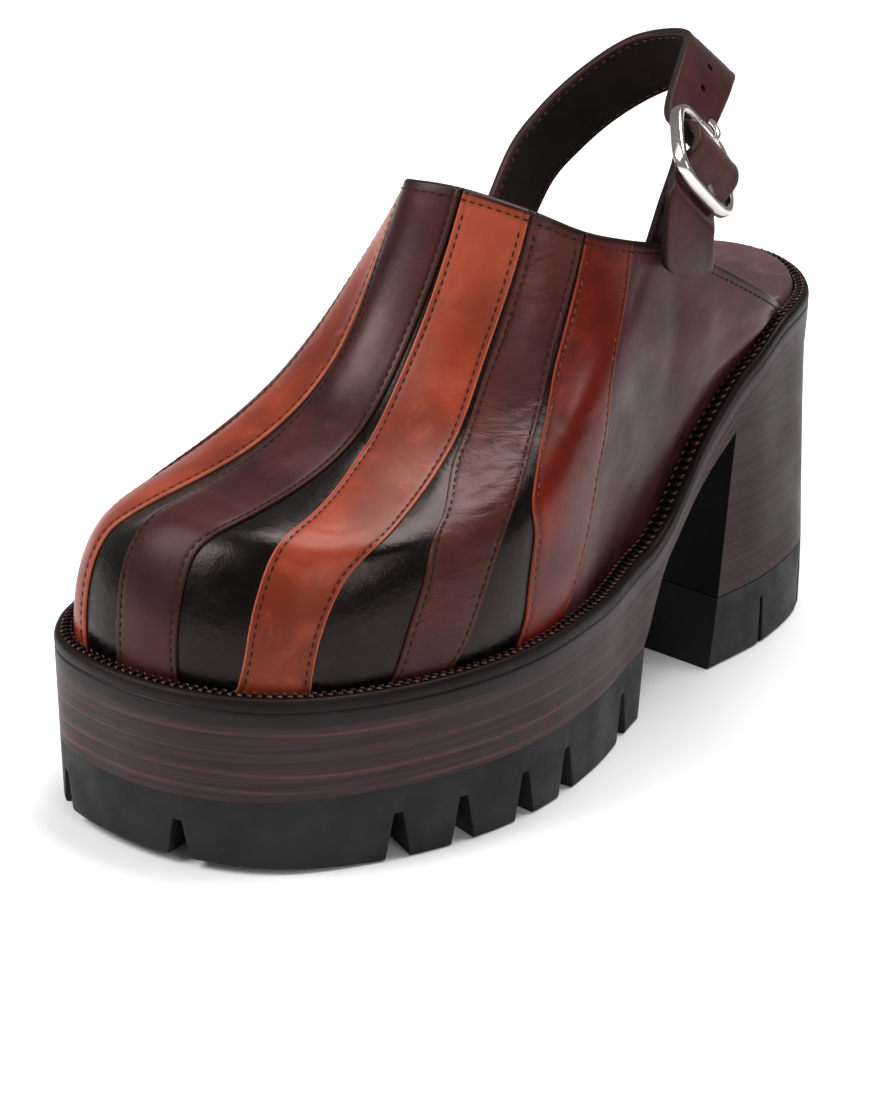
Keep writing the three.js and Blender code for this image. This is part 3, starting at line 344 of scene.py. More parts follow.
# Outer face of the upper at rib number r and height share v, both arrays of one shape
def drawn_shell(r, v):
    r, v = np.broadcast_arrays(np.clip(r, 0, LAST_RIB).astype(float), np.asarray(v, float))
    flat = feather_at(r)
    base = platform_top(HEEL_Y - flat[..., 1]) + CLEARANCE + FOOT_LIFT
    head = from_shares(rib_value(HEAD_X, r), rib_value(HEAD_BACK, r), rib_value(HEAD_UP, r))
    turn = feather_at(np.minimum(r + 0.05, LAST_RIB)) - feather_at(np.maximum(r - 0.05, 0))
    outward = unit(np.stack([-turn[..., 1], turn[..., 0], np.zeros_like(r)], -1))
    stand = np.minimum(WELT_THICKNESS + CLEARANCE, (head[..., 2] - base) * 0.5)
    foot = np.concatenate([flat, (base + stand)[..., None]], -1)
    run = head - foot
    run[..., 2] = 0
    heading = unit(run)
    rise = head[..., 2] - foot[..., 2]
    up = np.array([0.0, 0.0, 1.0])
    tilt, head_tilt = rib_value(TILT, r), rib_value(HEAD_TILT, r)
    bulge = BALL_WIDTH * rib_value(BULGE, r)[..., None]

    def slope(degrees):
        angle = np.radians(degrees)[..., None]
        return heading * np.cos(angle) + up * np.sin(angle)

    crown = (foot + run * rib_value(CROWN_IN, r)[..., None]
             + up * (rise * rib_value(CROWN_UP, r))[..., None] + outward * bulge)
    reach = np.linalg.norm(crown - foot, axis=-1)
    flat_reach = np.linalg.norm((crown - foot)[..., :2], axis=-1)
    share = tilt / 90
    turned = flat_reach * 0.62 * (1 - share) + reach * 0.33 * share
    lift = (crown[..., 2] - foot[..., 2]) * 0.55 * (1 - tilt / 200)
    low = bezier(foot, foot + up * lift[..., None] + outward * bulge * 0.6,
                 crown - slope(tilt) * turned[..., None], crown,
                 np.clip((v - FOOT_SHARE) / (CROWN_SHARE - FOOT_SHARE), 0, 1))
    chord = np.linalg.norm(head - crown, axis=-1)[..., None] * 0.48
    high = bezier(crown, crown + slope(tilt) * chord, head - slope(head_tilt) * chord, head,
                  np.clip((v - CROWN_SHARE) / (1 - CROWN_SHARE), 0, 1))
    standing = np.concatenate([flat, (base + stand * v / FOOT_SHARE)[..., None]], -1)
    return np.where((v <= FOOT_SHARE)[..., None], standing,
                    np.where((v <= CROWN_SHARE)[..., None], low, high))


# The same face with its crown eased, as leather over a last
def shell(r, v):
    r, v = np.broadcast_arrays(np.asarray(r, float), np.asarray(v, float))
    reach = 0.075 * np.clip((v - FOOT_SHARE) / 0.2, 0, 1) * np.clip((1 - v) / 0.25, 0, 1)
    total = 0
    for share, weight in ((-1, 1), (-0.5, 3), (0, 4), (0.5, 3), (1, 1)):
        total = total + drawn_shell(r, v + reach * share) * weight
    return total / 12


def shell_normal(r, v):
    r, v = np.broadcast_arrays(np.asarray(r, float), np.asarray(v, float))
    across = shell(np.minimum(r + 0.04, LAST_RIB), v) - shell(np.maximum(r - 0.04, 0), v)
    up = shell(r, np.minimum(v + 0.015, 1)) - shell(r, np.maximum(v - 0.015, 0))
    return -unit(np.cross(across, up))


def shell_offset(r, v, distance):
    return shell(r, v) + shell_normal(r, v) * np.asarray(distance, float)[..., None]


# Millimetres up to the collar's edge per height share
def collar_pitch(r):
    return np.linalg.norm(shell(r, 1.0) - shell(r, 0.98), axis=-1) / 0.02


# Millimetres across the upper per rib number
def rib_pitch(r, v):
    return np.linalg.norm(shell(r + 0.02, v) - shell(r - 0.02, v), axis=-1) / 0.04


# Helpers that shape the pieces
def clear_selection():
    if bpy.context.object and bpy.context.object.mode != "OBJECT":
        bpy.ops.object.mode_set(mode="OBJECT")
    bpy.ops.object.select_all(action="DESELECT")


def only(piece):
    clear_selection()
    piece.select_set(True)
    bpy.context.view_layer.objects.active = piece


def named(piece, name):
    piece.name = name
    piece.data.name = name
    return piece


# A grid primitive whose corners are laid on rows of points in millimetres
def sheet(name, points):
    rows, cols = points.shape[:2]
    clear_selection()
    bpy.ops.mesh.primitive_grid_add(x_subdivisions=cols - 1, y_subdivisions=rows - 1, size=2)
    piece = named(bpy.context.object, name)
    start = np.empty(rows * cols * 3)
    piece.data.vertices.foreach_get("co", start)
    start = start.reshape(-1, 3)
    col = np.rint((start[:, 0] + 1) / 2 * (cols - 1)).astype(int)
    row = np.rint((start[:, 1] + 1) / 2 * (rows - 1)).astype(int)
    piece.data.vertices.foreach_set("co", (points[row, col] * MM).ravel())
    piece.data.update()
    return piece, row, col


def join(name, pieces):
    only(pieces[0])
    for piece in pieces:
        piece.select_set(True)
    bpy.ops.object.join()
    return named(bpy.context.object, name)


# Doubled corners are merged and all faces turned outwards
def weld(piece, gap=0.00001):
    only(piece)
    bpy.ops.object.mode_set(mode="EDIT")
    bpy.ops.mesh.select_all(action="SELECT")
    bpy.ops.mesh.remove_doubles(threshold=gap)
    bpy.ops.mesh.normals_make_consistent(inside=False)
    bpy.ops.object.mode_set(mode="OBJECT")
    return piece


def fill_holes(piece):
    only(piece)
    bpy.ops.object.mode_set(mode="EDIT")
    bpy.ops.mesh.select_all(action="DESELECT")
    bpy.ops.mesh.select_non_manifold()
    bpy.ops.mesh.fill()
    bpy.ops.mesh.select_all(action="SELECT")
    bpy.ops.mesh.normals_make_consistent(inside=False)
    bpy.ops.object.mode_set(mode="OBJECT")


def smooth(piece, degrees=35):
    only(piece)
    bpy.ops.object.shade_smooth_by_angle(angle=math.radians(degrees))
    return piece


def apply_modifier(piece, kind, **settings):
    only(piece)
    modifier = piece.modifiers.new(kind.title(), kind)
    for key, value in settings.items():
        setattr(modifier, key, value)
    bpy.ops.object.modifier_apply(modifier=modifier.name)
    return piece


# Closed block between plan loops, from its top loop down to its lowest one
def block(name, loops, ring=False):
    rows = [np.vstack([loop, loop[:1]]) for loop in loops]
    if ring:
        rows.append(rows[0])
    side, _, _ = sheet(name, np.stack(rows))
    parts = [side]
    if not ring:
        for loop in (loops[0], loops[-1]):
            half = len(loop) // 2
            lid, _, _ = sheet(name + "_lid", np.stack([loop[:half], loop[half:][::-1]], 1))
            parts.append(lid)
    return weld(join(name, parts))


# Cuts one closed mesh out of another
def cut(piece, cutters):
    cutter = weld(join("cutter", cutters), 0.0)
    apply_modifier(piece, "BOOLEAN", object=cutter, operation="DIFFERENCE", solver="EXACT", use_self=True)
    bpy.data.objects.remove(cutter)
    return piece


# Wedge-shaped cutter that stands across the sole's edge at a distance s from the heel
def notch_cutter(side, s, width, flare, height, depth):
    edge = Edge(0.0)
    at = (lambda q: np.array([edge.lateral(q) if side > 0 else edge.medial(q), HEEL_Y - q]))
    along = unit(at(s + 2) - at(s - 2))
    out = np.array([along[1], -along[0]]) * (-1 if side > 0 else 1)
    clear_selection()
    bpy.ops.mesh.primitive_cube_add(size=1)
    cutter = bpy.context.object
    middle = at(s)
    for vertex in cutter.data.vertices:
        a, b, c = vertex.co
        high = c > 0
        half = width / 2 + (-flare / 4 if high else flare / 2)
        reach = CUTTER_OUT if b > 0 else -depth
        spot = middle + along * (2 * a * half) + out * reach
        vertex.co = Vector((spot[0], spot[1], height if high else CUTTER_FOOT)) * MM
    return cutter


def outsole_piece():
    def level(inset, z_of, z):
        return plan_loop(inset, z_of, low=ARCH_START + TREAD_RAKE * (1 - z / TREAD_HEIGHT))
    piece = block("rubber_outsole", [
        level(SIDE_TAPER, TREAD_HEIGHT, TREAD_HEIGHT),
        level(SIDE_TAPER + 0.3, TREAD_HEIGHT / 2, TREAD_HEIGHT / 2),
        level(SIDE_TAPER + 0.5, lambda s: tread_under(s) + 0.9, 0),
        level(SIDE_TAPER + 0.7, lambda s: tread_under(s) + 0.3, 0),
        level(SIDE_TAPER + 1.2, tread_under, 0)])
    cutters = []
    for side, places in ((1, LATERAL_NOTCHES + (0.990,)), (-1, MEDIAL_NOTCHES)):
        for share in places:
            cutters.append(notch_cutter(side, share * SOLE_LENGTH, NOTCH_WIDTH, NOTCH_FLARE, NOTCH_HEIGHT,
                                        NOTCH_DEPTH))
    for share in LATERAL_NOTCHES:
        half = BALL_WIDTH * (0.33 if share > 0.55 else 0.24)
        s = share * SOLE_LENGTH
        clear_selection()
        bpy.ops.mesh.primitive_cube_add(size=1, location=(0, (HEEL_Y - s) * MM, float(tread_under(s)) * MM),
                                        scale=(2 * half * MM, NOTCH_WIDTH * MM, 2 * CHANNEL_DEPTH * MM))
        bpy.ops.object.transform_apply(location=True, rotation=False, scale=True)
        cutters.append(bpy.context.object)
    cut(piece, cutters)
    apply_modifier(piece, "BEVEL", width=0.35 * MM, segments=2, limit_method="ANGLE",
                   angle_limit=math.radians(50))
    return smooth(piece)


# The breast leans: the heel's length at a height
def heel_breast(z):
    share = min(1.0, z / (HEEL_SEAT_HEIGHT * 0.72))
    return HEEL_FLOOR_LENGTH + (HEEL_TOP_LENGTH - HEEL_FLOOR_LENGTH) * share


def heel_loop(inset, z, z_of):
    return plan_loop(inset, z_of, high=heel_breast(z), count=70)


def heel_piece():
    top = float(platform_under(np.array(HEEL_TOP_LENGTH)))
    foot = LIFT_HEIGHT + CLEARANCE
    loops = [heel_loop(SIDE_TAPER + 0.2, top, lambda s: platform_under(s) - CLEARANCE)]
    for k in range(1, 6):
        z = top + (foot - top) * k / 6
        loops.append(heel_loop(SIDE_TAPER + 0.2 - HEEL_FLARE * 1.2 * k / 6, z, z))
    loops.append(heel_loop(SIDE_TAPER - HEEL_FLARE, foot, foot))
    return smooth(block("stacked_heel", loops))


def lift_piece():
    t = SIDE_TAPER - HEEL_FLARE
    piece = block("heel_lift_rubber", [
        heel_loop(t, LIFT_HEIGHT, LIFT_HEIGHT), heel_loop(t, 10, 10), heel_loop(t + 0.2, 1.0, 1.0),
        heel_loop(t + 0.45, 0.35, 0.35), heel_loop(t + 1.0, 0, 0)])
    cutters = []
    for side in (1, -1):
        for share in (0.190, 0.085):
            cutters.append(notch_cutter(side, share * SOLE_LENGTH, SLIT_WIDTH, 0.6, 14.0, 9.0))
    cut(piece, cutters)
    return smooth(piece)


def platform_piece():
    loops = []
    for inset, drop in ((0.5, 0.0), (0.15, 0.35), (0.0, 0.9)):
        loops.append(plan_loop(inset, lambda s, d=drop: platform_top(s) - d))
    for k in range(1, 9):
        share = k / 8
        loops.append(plan_loop(SIDE_TAPER * share, lambda s, q=share: (platform_top(s) - 0.9) * (1 - q)
                               + (platform_under(s) - 0.25) * q))
    piece = block("stacked_platform", loops)
    return smooth(piece, 40)


# Loop on the welt's top, at a share of the way in from its rounded edge to the upper
def welt_loop(share, lift, count=110):
    return plan_loop(lambda s: WELT_ROUND + (ledge(s) - STRIPE_RAISE - CLEARANCE - WELT_ROUND) * share,
                     lambda s: platform_top(s) + lift, count=count)


def welt_piece():
    rim = ((0.3, 0.02), (0.02, 0.5), (-0.06, 1.7), (0.04, 2.5), (0.35, 3.2), (WELT_ROUND, 3.55))
    loops = [plan_loop(inset, lambda s, up=lift: platform_top(s) + up) for inset, lift in rim]
    for share, lift in ((0.25, 3.6), (0.40, 3.42), (0.55, 3.36), (0.72, 3.42), (0.88, 3.25), (1.0, 2.7),
                        (1.0, 0.02)):
        loops.append(welt_loop(share, lift))
    return smooth(block("welt_strip", loops, ring=True), 50)


def insole_piece():
    def narrowed(s):
        return (STRIPE_RAISE + WALL + CLEARANCE + 0.2) * ease((s - (UPPER_REAR - STEP_AHEAD)) / STEP_LENGTH)

    def thick(s):
        return INSOLE_THICKNESS + INSOLE_RISE * (1 - ease((s / SOLE_LENGTH - 0.1) / 0.2))

    def level(extra, share):
        return plan_loop(lambda s: ledge(s) - STRIPE_RAISE + extra + narrowed(s),
                         lambda s: platform_top(s) + CLEARANCE + thick(s) * share)
    loops = [level(4.5, 0.985), level(2.6, 1.0), level(1.4, 0.97), level(0.6, 0.88), level(0.12, 0.7),
             level(0, 0.5), level(0, 0.0)]
    return smooth(block("insole_lining", loops), 60)


# Panels of the upper in order: kind, and its two edges as rib numbers at height shares v
def panel_order():
    heights = np.array(SEAM_HEIGHTS)
    panels, before = [], (lambda v: np.zeros_like(v))
    for number, (kind, low, high) in enumerate(STRIPES):
        low_edge = (lambda v, row=np.array(low): smooth_curve(v, heights, row))
        high_edge = (lambda v, row=np.array(high): smooth_curve(v, heights, row))
        panels += [("wedge" if number else "quarter", before, low_edge), (kind, low_edge, high_edge)]
        before = high_edge
    return panels + [("quarter", before, lambda v: np.full_like(v, LAST_RIB))]


PANELS = panel_order()

# Thread rows: in from a stripe's edge, down from the collar, and their pitches
STITCH_INSET, COLLAR_STITCH, STITCH_PITCH, WELT_PITCH, STRAP_PITCH = 1.6, 1.9, 2.4, 2.45, 2.6

# Length and width of the fine stitches, and the height shares between which the stripes are sewn
THREAD_LENGTH, THREAD_WIDTH, SEWN_LOW, SEWN_HIGH = 1.55, 0.42, 0.055, 0.985

# Soft folds in the leather: rib and height share of points along each one, half width and depth in mm
FOLDS = (
    (((2.95, 0.93), (2.75, 0.80), (2.62, 0.64), (2.60, 0.48)), 4.5, 0.8),
    (((2.30, 0.90), (2.10, 0.72), (1.95, 0.52)), 4.0, -0.5),
    (((3.55, 0.97), (3.70, 0.90), (3.78, 0.82)), 1.8, 0.35),
    (((5.15, 0.72), (5.40, 0.69), (5.66, 0.68)), 1.4, 0.20),
    (((5.25, 0.66), (5.50, 0.62), (5.82, 0.605)), 1.5, 0.26),
    (((5.12, 0.63), (5.36, 0.59), (5.60, 0.58)), 1.3, 0.22),
    (((5.22, 0.585), (5.45, 0.545), (5.72, 0.53)), 1.6, 0.28),
    (((5.05, 0.55), (5.30, 0.505), (5.58, 0.49)), 1.4, 0.22),
    (((4.70, 0.60), (4.30, 0.55), (3.95, 0.55)), 1.6, 0.16),
    (((6.22, 0.46), (6.42, 0.445), (6.64, 0.46)), 1.5, 0.20),
    (((6.25, 0.42), (6.45, 0.405), (6.66, 0.415)), 1.3, 0.14),
    (((7.30, 0.66), (7.80, 0.62), (8.30, 0.62)), 3.4, 0.22),
)


def fold_depth(points):
    flat = points.reshape(-1, 3)
    total = np.zeros(len(flat))
    for path, width, depth in FOLDS:
        path = np.array(path)
        t = np.linspace(0, 1, 24)
        rv = curve_points(np.column_stack([path, np.zeros(len(path))]), t)
        line = shell(rv[:, 0], rv[:, 1])
        fade = np.sin(np.pi * (0.08 + 0.84 * t)) ** 0.7
        distance = np.linalg.norm(flat[:, None, :] - line[None, :, :], axis=2)
        near = np.argmin(distance, axis=1)
        total -= depth * fade[near] * np.exp(-(distance[np.arange(len(flat)), near] / width) ** 2)
    return total.reshape(points.shape[:-1])


def upper_levels():
    low = FOOT_SHARE + (CROWN_SHARE - FOOT_SHARE) * np.linspace(0, 1, 46)[1:]
    high = CROWN_SHARE + (1 - CROWN_SHARE) * np.linspace(0, 1, 71)[1:]
    return np.concatenate([[0, 0.025, 0.05], low, high])


# Column layout across one raised stripe: distance from its edge and height there, in millimetres
EDGE_PROFILE = ((0.0, 0.0), (0.05, 0.5), (0.25, 0.74), (0.7, 0.80), (1.2, 0.77), (STITCH_INSET, 0.66),
                (2.05, 0.76), (2.8, 0.82))


# Columns of the upper: rib numbers, heights over the shell and distances from the stripe's edge
def upper_columns(v):
    columns, heights, distances, kinds = [], [], [], []

    def add(r, height, far, kind):
        columns.append(np.clip(r, 0, LAST_RIB))
        heights.append(np.broadcast_to(height, v.shape))
        distances.append(np.broadcast_to(far, v.shape))
        kinds.append(kind)

    for kind, low_edge, high_edge in PANELS:
        a, b = low_edge(v), high_edge(v)
        pitch_a = rib_pitch(np.clip(a, 0.02, LAST_RIB - 0.02), v)
        pitch_b = rib_pitch(np.clip(b, 0.02, LAST_RIB - 0.02), v)
        width = (b - a) * (pitch_a + pitch_b) / 2
        if kind in ("quarter", "wedge"):
            count = 44 if kind == "quarter" else 10
            for i in range(count + 1):
                t = i / count
                puff = 0.25 * math.sin(math.pi * t) * np.clip(width / 12, 0, 1) if kind == "wedge" else 0.0
                add(a + (b - a) * t, puff, np.minimum(t, 1 - t) * width, kind)
            continue
        for d, h in EDGE_PROFILE:
            add(a + d / pitch_a, h, d, kind)
        last = EDGE_PROFILE[-1][0]
        inner_a, inner_b = a + last / pitch_a, b - last / pitch_b
        for i in range(1, 13):
            t = i / 13
            add(inner_a + (inner_b - inner_a) * t, STRIPE_RAISE + 0.12 * math.sin(math.pi * t),
                last + np.minimum(t, 1 - t) * (width - 2 * last), kind)
        for d, h in EDGE_PROFILE[::-1]:
            add(b - d / pitch_b, h, d, kind)
    return np.stack(columns, 1), np.stack(heights, 1), np.stack(distances, 1), kinds


def upper_piece():
    v = upper_levels()
    r, height, far, kinds = upper_columns(v)
    vv = np.broadcast_to(v[:, None], r.shape)
    face, normal = shell(r, vv), shell_normal(r, vv)
    below = (1 - vv) * collar_pitch(r[-1])[None, :]
    height = height + fold_depth(face) * np.clip(far / 3, 0.25, 1)
    height = height - GROOVE_DEPTH * np.exp(-((below - COLLAR_STITCH) / GROOVE_HALF) ** 2)
    outer = face + normal * height[..., None]
    inner = face - normal * WALL
    up = unit(face[-1] - face[-2])
    rim = []
    for angle in np.linspace(0, np.pi, 8)[1:-1]:
        middle, half = (outer[-1] + inner[-1]) / 2, (outer[-1] - inner[-1]) / 2
        rim.append(middle + half * math.cos(angle) + up * RIM_RISE * math.sin(angle))
    pick = list(range(len(v) - 1, 0, -3)) + [0]
    rows = np.concatenate([outer, np.stack(rim), inner[pick], outer[:1]])
    nearest = [min(pick, key=lambda level: abs(level - i)) for i in range(len(v))]
    ends = np.array(nearest + [len(v) - 1] * len(rim) + pick + [0])
    middle = (outer + inner) / 2
    rows = np.concatenate([middle[ends, :1], rows, middle[ends, -1:]], 1)
    kinds = kinds[:1] + kinds + kinds[-1:]
    piece, row, col = sheet("striped_upper", rows)
    mesh = piece.data
    levels = np.array(list(range(len(v))) + [len(v) - 1] * len(rim) + pick + [0])
    sides = np.array([0] + list(range(r.shape[1])) + [r.shape[1] - 1])
    far_rows, below_rows = far[levels][:, sides], below[levels][:, sides]
    for name, values in (("edge_mm", far_rows), ("collar_mm", below_rows)):
        attribute = mesh.attributes.new(name, "FLOAT", "POINT")
        attribute.data.foreach_set("value", values[row, col].astype(np.float32))
    names = list(UPPER_MATERIALS)
    for material in UPPER_MATERIALS.values():
        mesh.materials.append(material)
    corners = np.array([polygon.vertices[:] for polygon in mesh.polygons])
    low_col, low_row = col[corners].min(1), row[corners].min(1)
    slots = np.empty(len(corners), np.int32)
    for i, (c, q) in enumerate(zip(low_col, low_row)):
        here, after = kinds[c], kinds[min(c + 1, len(kinds) - 1)]
        kind = after if here in ("quarter", "wedge") else here
        slots[i] = names.index("lining" if q >= len(v) + len(rim) - 2 else kind)
    mesh.polygons.foreach_set("material_index", slots)
    weld(piece, 0.000002)
    return smooth(piece, 42)


# Strap, tab and buckle follow the ring's own axes: up the strap, across it and out of the ring
BUCKLE_MIDDLE = from_shares(0.336, 0.331, 0.992)
BUCKLE_ALONG = unit(np.array([-0.587, 0.630, 0.508]))
BUCKLE_OUT = unit(np.cross(np.array([0.106, 0.680, -0.720]), BUCKLE_ALONG))
BUCKLE_ACROSS = unit(np.cross(BUCKLE_ALONG, BUCKLE_OUT))


def buckle_spot(along, across, out):
    return BUCKLE_MIDDLE + BUCKLE_ALONG * along + BUCKLE_ACROSS * across + BUCKLE_OUT * out


STRAP_UNDER = BUCKLE_DEPTH / 2 + CLEARANCE + STRAP_THICKNESS / 2 + STRAP_SLACK
STRAP_OVER = BAR_RADIUS + CLEARANCE + STRAP_THICKNESS / 2 + BAR_ARCH


# Rows of a band's two edge points under the upper's wall
def anchor_rows(places, thickness, gap):
    sunk = np.full(2, -(WALL + CLEARANCE + thickness / 2 + gap))
    return [tuple(shell_offset(np.array([fr, rr]), np.array([fv, rv]), sunk)) for fr, fv, rr, rv in places]


# The strap's rows: its fixed end, round the heel, down through the ring and over the bar, and its tip
def strap_centre():
    rows = anchor_rows(STRAP_ANCHOR, STRAP_THICKNESS, STRAP_GAP)
    rows += [(from_shares(*row[:3]), from_shares(*row[3:])) for row in STRAP_ROWS]
    half, end = STRAP_WIDTH / 2, BUCKLE_LENGTH / 2
    throat, crest = end - BUCKLE_BAND, BAR_RADIUS * 2 + CLEARANCE
    under, dip = -STRAP_UNDER, STRAP_SLACK - STRAP_UNDER
    stops = (
        (end, under, under), (throat * 0.9, dip, dip), (throat * 0.6, -CLEARANCE, -CLEARANCE),
        (crest, STRAP_OVER, STRAP_OVER), (-crest, STRAP_OVER, STRAP_OVER),
        (-throat * 0.6, -CLEARANCE, -CLEARANCE), (-throat * 0.9, dip, dip),
        (-end, under - STRAP_SLACK, under), (-end - crest, under - TAIL_DROP, under))
    for at, front, rear in stops:
        rows.append((buckle_spot(at, -half, front), buckle_spot(at, half, rear)))
    return rows + [tuple(from_shares(*spot) for spot in STRAP_TIP)]


# Middle line of a band with its direction across and its normal, at even steps along
def band_line(rows, step):
    t = np.linspace(0, 1, 1200)
    a = curve_points([row[0] for row in rows], t)
    b = curve_points([row[1] for row in rows], t)
    middle = (a + b) / 2
    length = run_length(middle)
    at = np.linspace(0, length[-1], max(int(length[-1] / step), 2))
    pick = np.interp(at, length, t)
    a = curve_points([row[0] for row in rows], pick)
    b = curve_points([row[1] for row in rows], pick)
    middle, width = (a + b) / 2, unit(b - a)
    forward = np.gradient(middle, axis=0)
    normal = unit(np.cross(forward, width))
    return middle, width, normal, at


# Flat band with rounded edges; its first face is the outside and the other the lining
def band(name, rows, width, thickness, tip_round):
    middle, across, normal, at = band_line(rows, 0.9)
    left = at[-1] - at
    half = np.full(len(at), width / 2)
    inside = left < tip_round
    half[inside] -= tip_round - np.sqrt(np.maximum(tip_round**2 - (tip_round - left[inside]) ** 2, 0))
    corner = thickness * 0.32
    profile = []
    for sx, sy, start in ((1, 1, 0), (1, -1, 1), (-1, -1, 2), (-1, 1, 3)):
        for k in range(4):
            angle = math.radians(90 * (1 - start) - 30 * k)
            profile.append((sx, sy, math.cos(angle), math.sin(angle)))
    columns = []
    for sx, sy, c, s in profile:
        x = sx * (half - corner) + corner * c
        y = sy * (thickness / 2 - corner) + corner * s
        columns.append(middle + across * x[:, None] + normal * np.reshape(y, (-1, 1)))
        if (sx, sy, round(s, 3)) in ((1, -1, -1.0), (-1, 1, 1.0)):
            far = -1 if sx > 0 else 1
            for share in (0.83, 0.6, 0.3, 0.0, -0.3, -0.6, -0.83):
                x = sx * (half - corner) * share
                groove = 0.12 if abs(share) == 0.83 else 0.0
                y = sy * (thickness / 2 - groove)
                columns.append(middle + across * x[:, None] + normal * y)
    columns.append(columns[0])
    piece, row, col = sheet(name, np.stack(columns, 1))
    mesh = piece.data
    for material in BAND_MATERIALS:
        mesh.materials.append(material)
    corners = np.array([polygon.vertices[:] for polygon in mesh.polygons])
    low_col = col[corners].min(1)
    lining = (low_col >= 7) & (low_col <= 14)
    edges = ((low_col >= 1) & (low_col <= 6)) | ((low_col >= 16) & (low_col <= 20))
    slots = np.where(lining, 1, np.where(edges, 2, 0)).astype(np.int32)
    mesh.polygons.foreach_set("material_index", slots)
    weld(piece)
    fill_holes(piece)
    return smooth(piece, 50)


# Many copies of one small thread shape, each laid along its own direction
def stitches(name, spots, directions, normals, length, width, lift, material):
    clear_selection()
    bpy.ops.mesh.primitive_uv_sphere_add(segments=8, ring_count=6, radius=0.5)
    seed = bpy.context.object
    base = np.array([vertex.co[:] for vertex in seed.data.vertices])
    faces = [polygon.vertices[:] for polygon in seed.data.polygons]
    bpy.data.objects.remove(seed)
    base = base[:, [2, 0, 1]]
    base[:, 0] = np.sign(base[:, 0]) * np.abs(base[:, 0] * 2) ** 0.8 / 2
    d = unit(np.asarray(directions))
    n = unit(np.asarray(normals))
    side = unit(np.cross(n, d))
    n = np.cross(d, side)
    bend = 0.22 * width * (1 - (base[:, 0] * 2) ** 2)
    points = (np.asarray(spots)[:, None, :] + d[:, None, :] * (base[:, 0])[None, :, None] * length
              + side[:, None, :] * (base[:, 1] * width)[None, :, None]
              + n[:, None, :] * (base[:, 2] * width * 0.8 + bend + lift)[None, :, None])
    count = len(base)
    all_faces = [tuple(k + i * count for k in face) for i in range(len(points)) for face in faces]
    mesh = bpy.data.meshes.new(name)
    mesh.from_pydata((points.reshape(-1, 3) * MM).tolist(), [], all_faces)
    mesh.materials.append(material)
    piece = bpy.data.objects.new(name, mesh)
    bpy.context.scene.collection.objects.link(piece)
    only(piece)
    bpy.ops.object.shade_smooth()
    return piece


# Even spots along a polyline, with the direction there and the share of the way
def even_spots(line, pitch):
    length = run_length(line)
    at = np.arange(pitch / 2, length[-1] - pitch / 2, pitch)
    spots, ahead, behind = (points_at(at + step, length, line) for step in (0, 0.4, -0.4))
    return spots, ahead - behind, at / length[-1]


# Surfaces of the materials
class Nodes:
    def __init__(self, name):
        self.material = bpy.data.materials.new(name)
        self.material.use_nodes = True
        self.tree = self.material.node_tree
        self.shader = self.tree.nodes["Principled BSDF"]
        self.place = None

    def node(self, kind, **values):
        node = self.tree.nodes.new(kind)
        for key, value in values.items():
            if key in node.inputs:
                node.inputs[key].default_value = value
            else:
                setattr(node, key, value)
        return node

    def link(self, a, b):
        self.tree.links.new(a, b)

    # Puts a number, a colour or another node's output into a socket
    def feed(self, source, socket):
        if isinstance(source, tuple):
            socket.default_value = (*source, 1.0)
        elif isinstance(source, (float, int)):
            socket.default_value = source
        else:
            self.link(source, socket)

    def position(self, scale=(1, 1, 1), turn=(0, 0, 0)):
        if self.place is None:
            self.place = self.node("ShaderNodeTexCoord")
        mapping = self.node("ShaderNodeMapping")
        mapping.inputs["Scale"].default_value = scale
        mapping.inputs["Rotation"].default_value = turn
        self.link(self.place.outputs["Object"], mapping.inputs["Vector"])
        return mapping.outputs["Vector"]

    def along(self):
        node = self.node("ShaderNodeSeparateXYZ")
        self.link(self.position(), node.inputs[0])
        return node.outputs["Y"]

    def noise(self, scale, detail=4.0, rough=0.55, stretch=(1, 1, 1), turn=(0, 0, 0), distortion=0.0):
        node = self.node("ShaderNodeTexNoise", Scale=scale, Detail=detail, Roughness=rough,
                         Distortion=distortion)
        self.link(self.position(stretch, turn), node.inputs["Vector"])
        return node.outputs["Fac"]

    def cells(self, scale, feature="F1", stretch=(1, 1, 1)):
        node = self.node("ShaderNodeTexVoronoi", feature=feature, Scale=scale)
        self.link(self.position(stretch), node.inputs["Vector"])
        return node.outputs["Distance"]

    def spread(self, source, low, high, out_low=0.0, out_high=1.0):
        node = self.node("ShaderNodeMapRange", clamp=True)
        node.interpolation_type = "SMOOTHSTEP"
        for key, value in (("From Min", low), ("From Max", high), ("To Min", out_low), ("To Max", out_high)):
            node.inputs[key].default_value = value
        self.link(source, node.inputs["Value"])
        return node.outputs["Result"]

    def attribute(self, name):
        return self.node("ShaderNodeAttribute", attribute_name=name).outputs["Fac"]

    def mix(self, share, a, b):
        node = self.node("ShaderNodeMix", data_type="RGBA")
        for source, number in ((share, 0), (a, 6), (b, 7)):
            self.feed(source, node.inputs[number])
        return node.outputs[2]

    def math(self, operation, a, b=0.0):
        node = self.node("ShaderNodeMath", operation=operation)
        self.feed(a, node.inputs[0])
        self.feed(b, node.inputs[1])
        return node.outputs[0]

    def bump(self, height, strength, distance, before=None):
        node = self.node("ShaderNodeBump", Strength=strength, Distance=distance)
        self.link(height, node.inputs["Height"])
        if before is not None:
            self.link(before, node.inputs["Normal"])
        return node.outputs["Normal"]

    def finish(self, colour=None, roughness=None, normal=None, **settings):
        for source, key in ((colour, "Base Color"), (roughness, "Roughness"), (normal, "Normal")):
            if source is not None:
                self.feed(source, self.shader.inputs[key])
        for key, value in settings.items():
            self.shader.inputs[key.replace("_", " ")].default_value = value
        return self.material


def srgb(*values):
    return tuple(((v / 255 + 0.055) / 1.055) ** 2.4 if v > 10 else v / 255 / 12.92 for v in values)


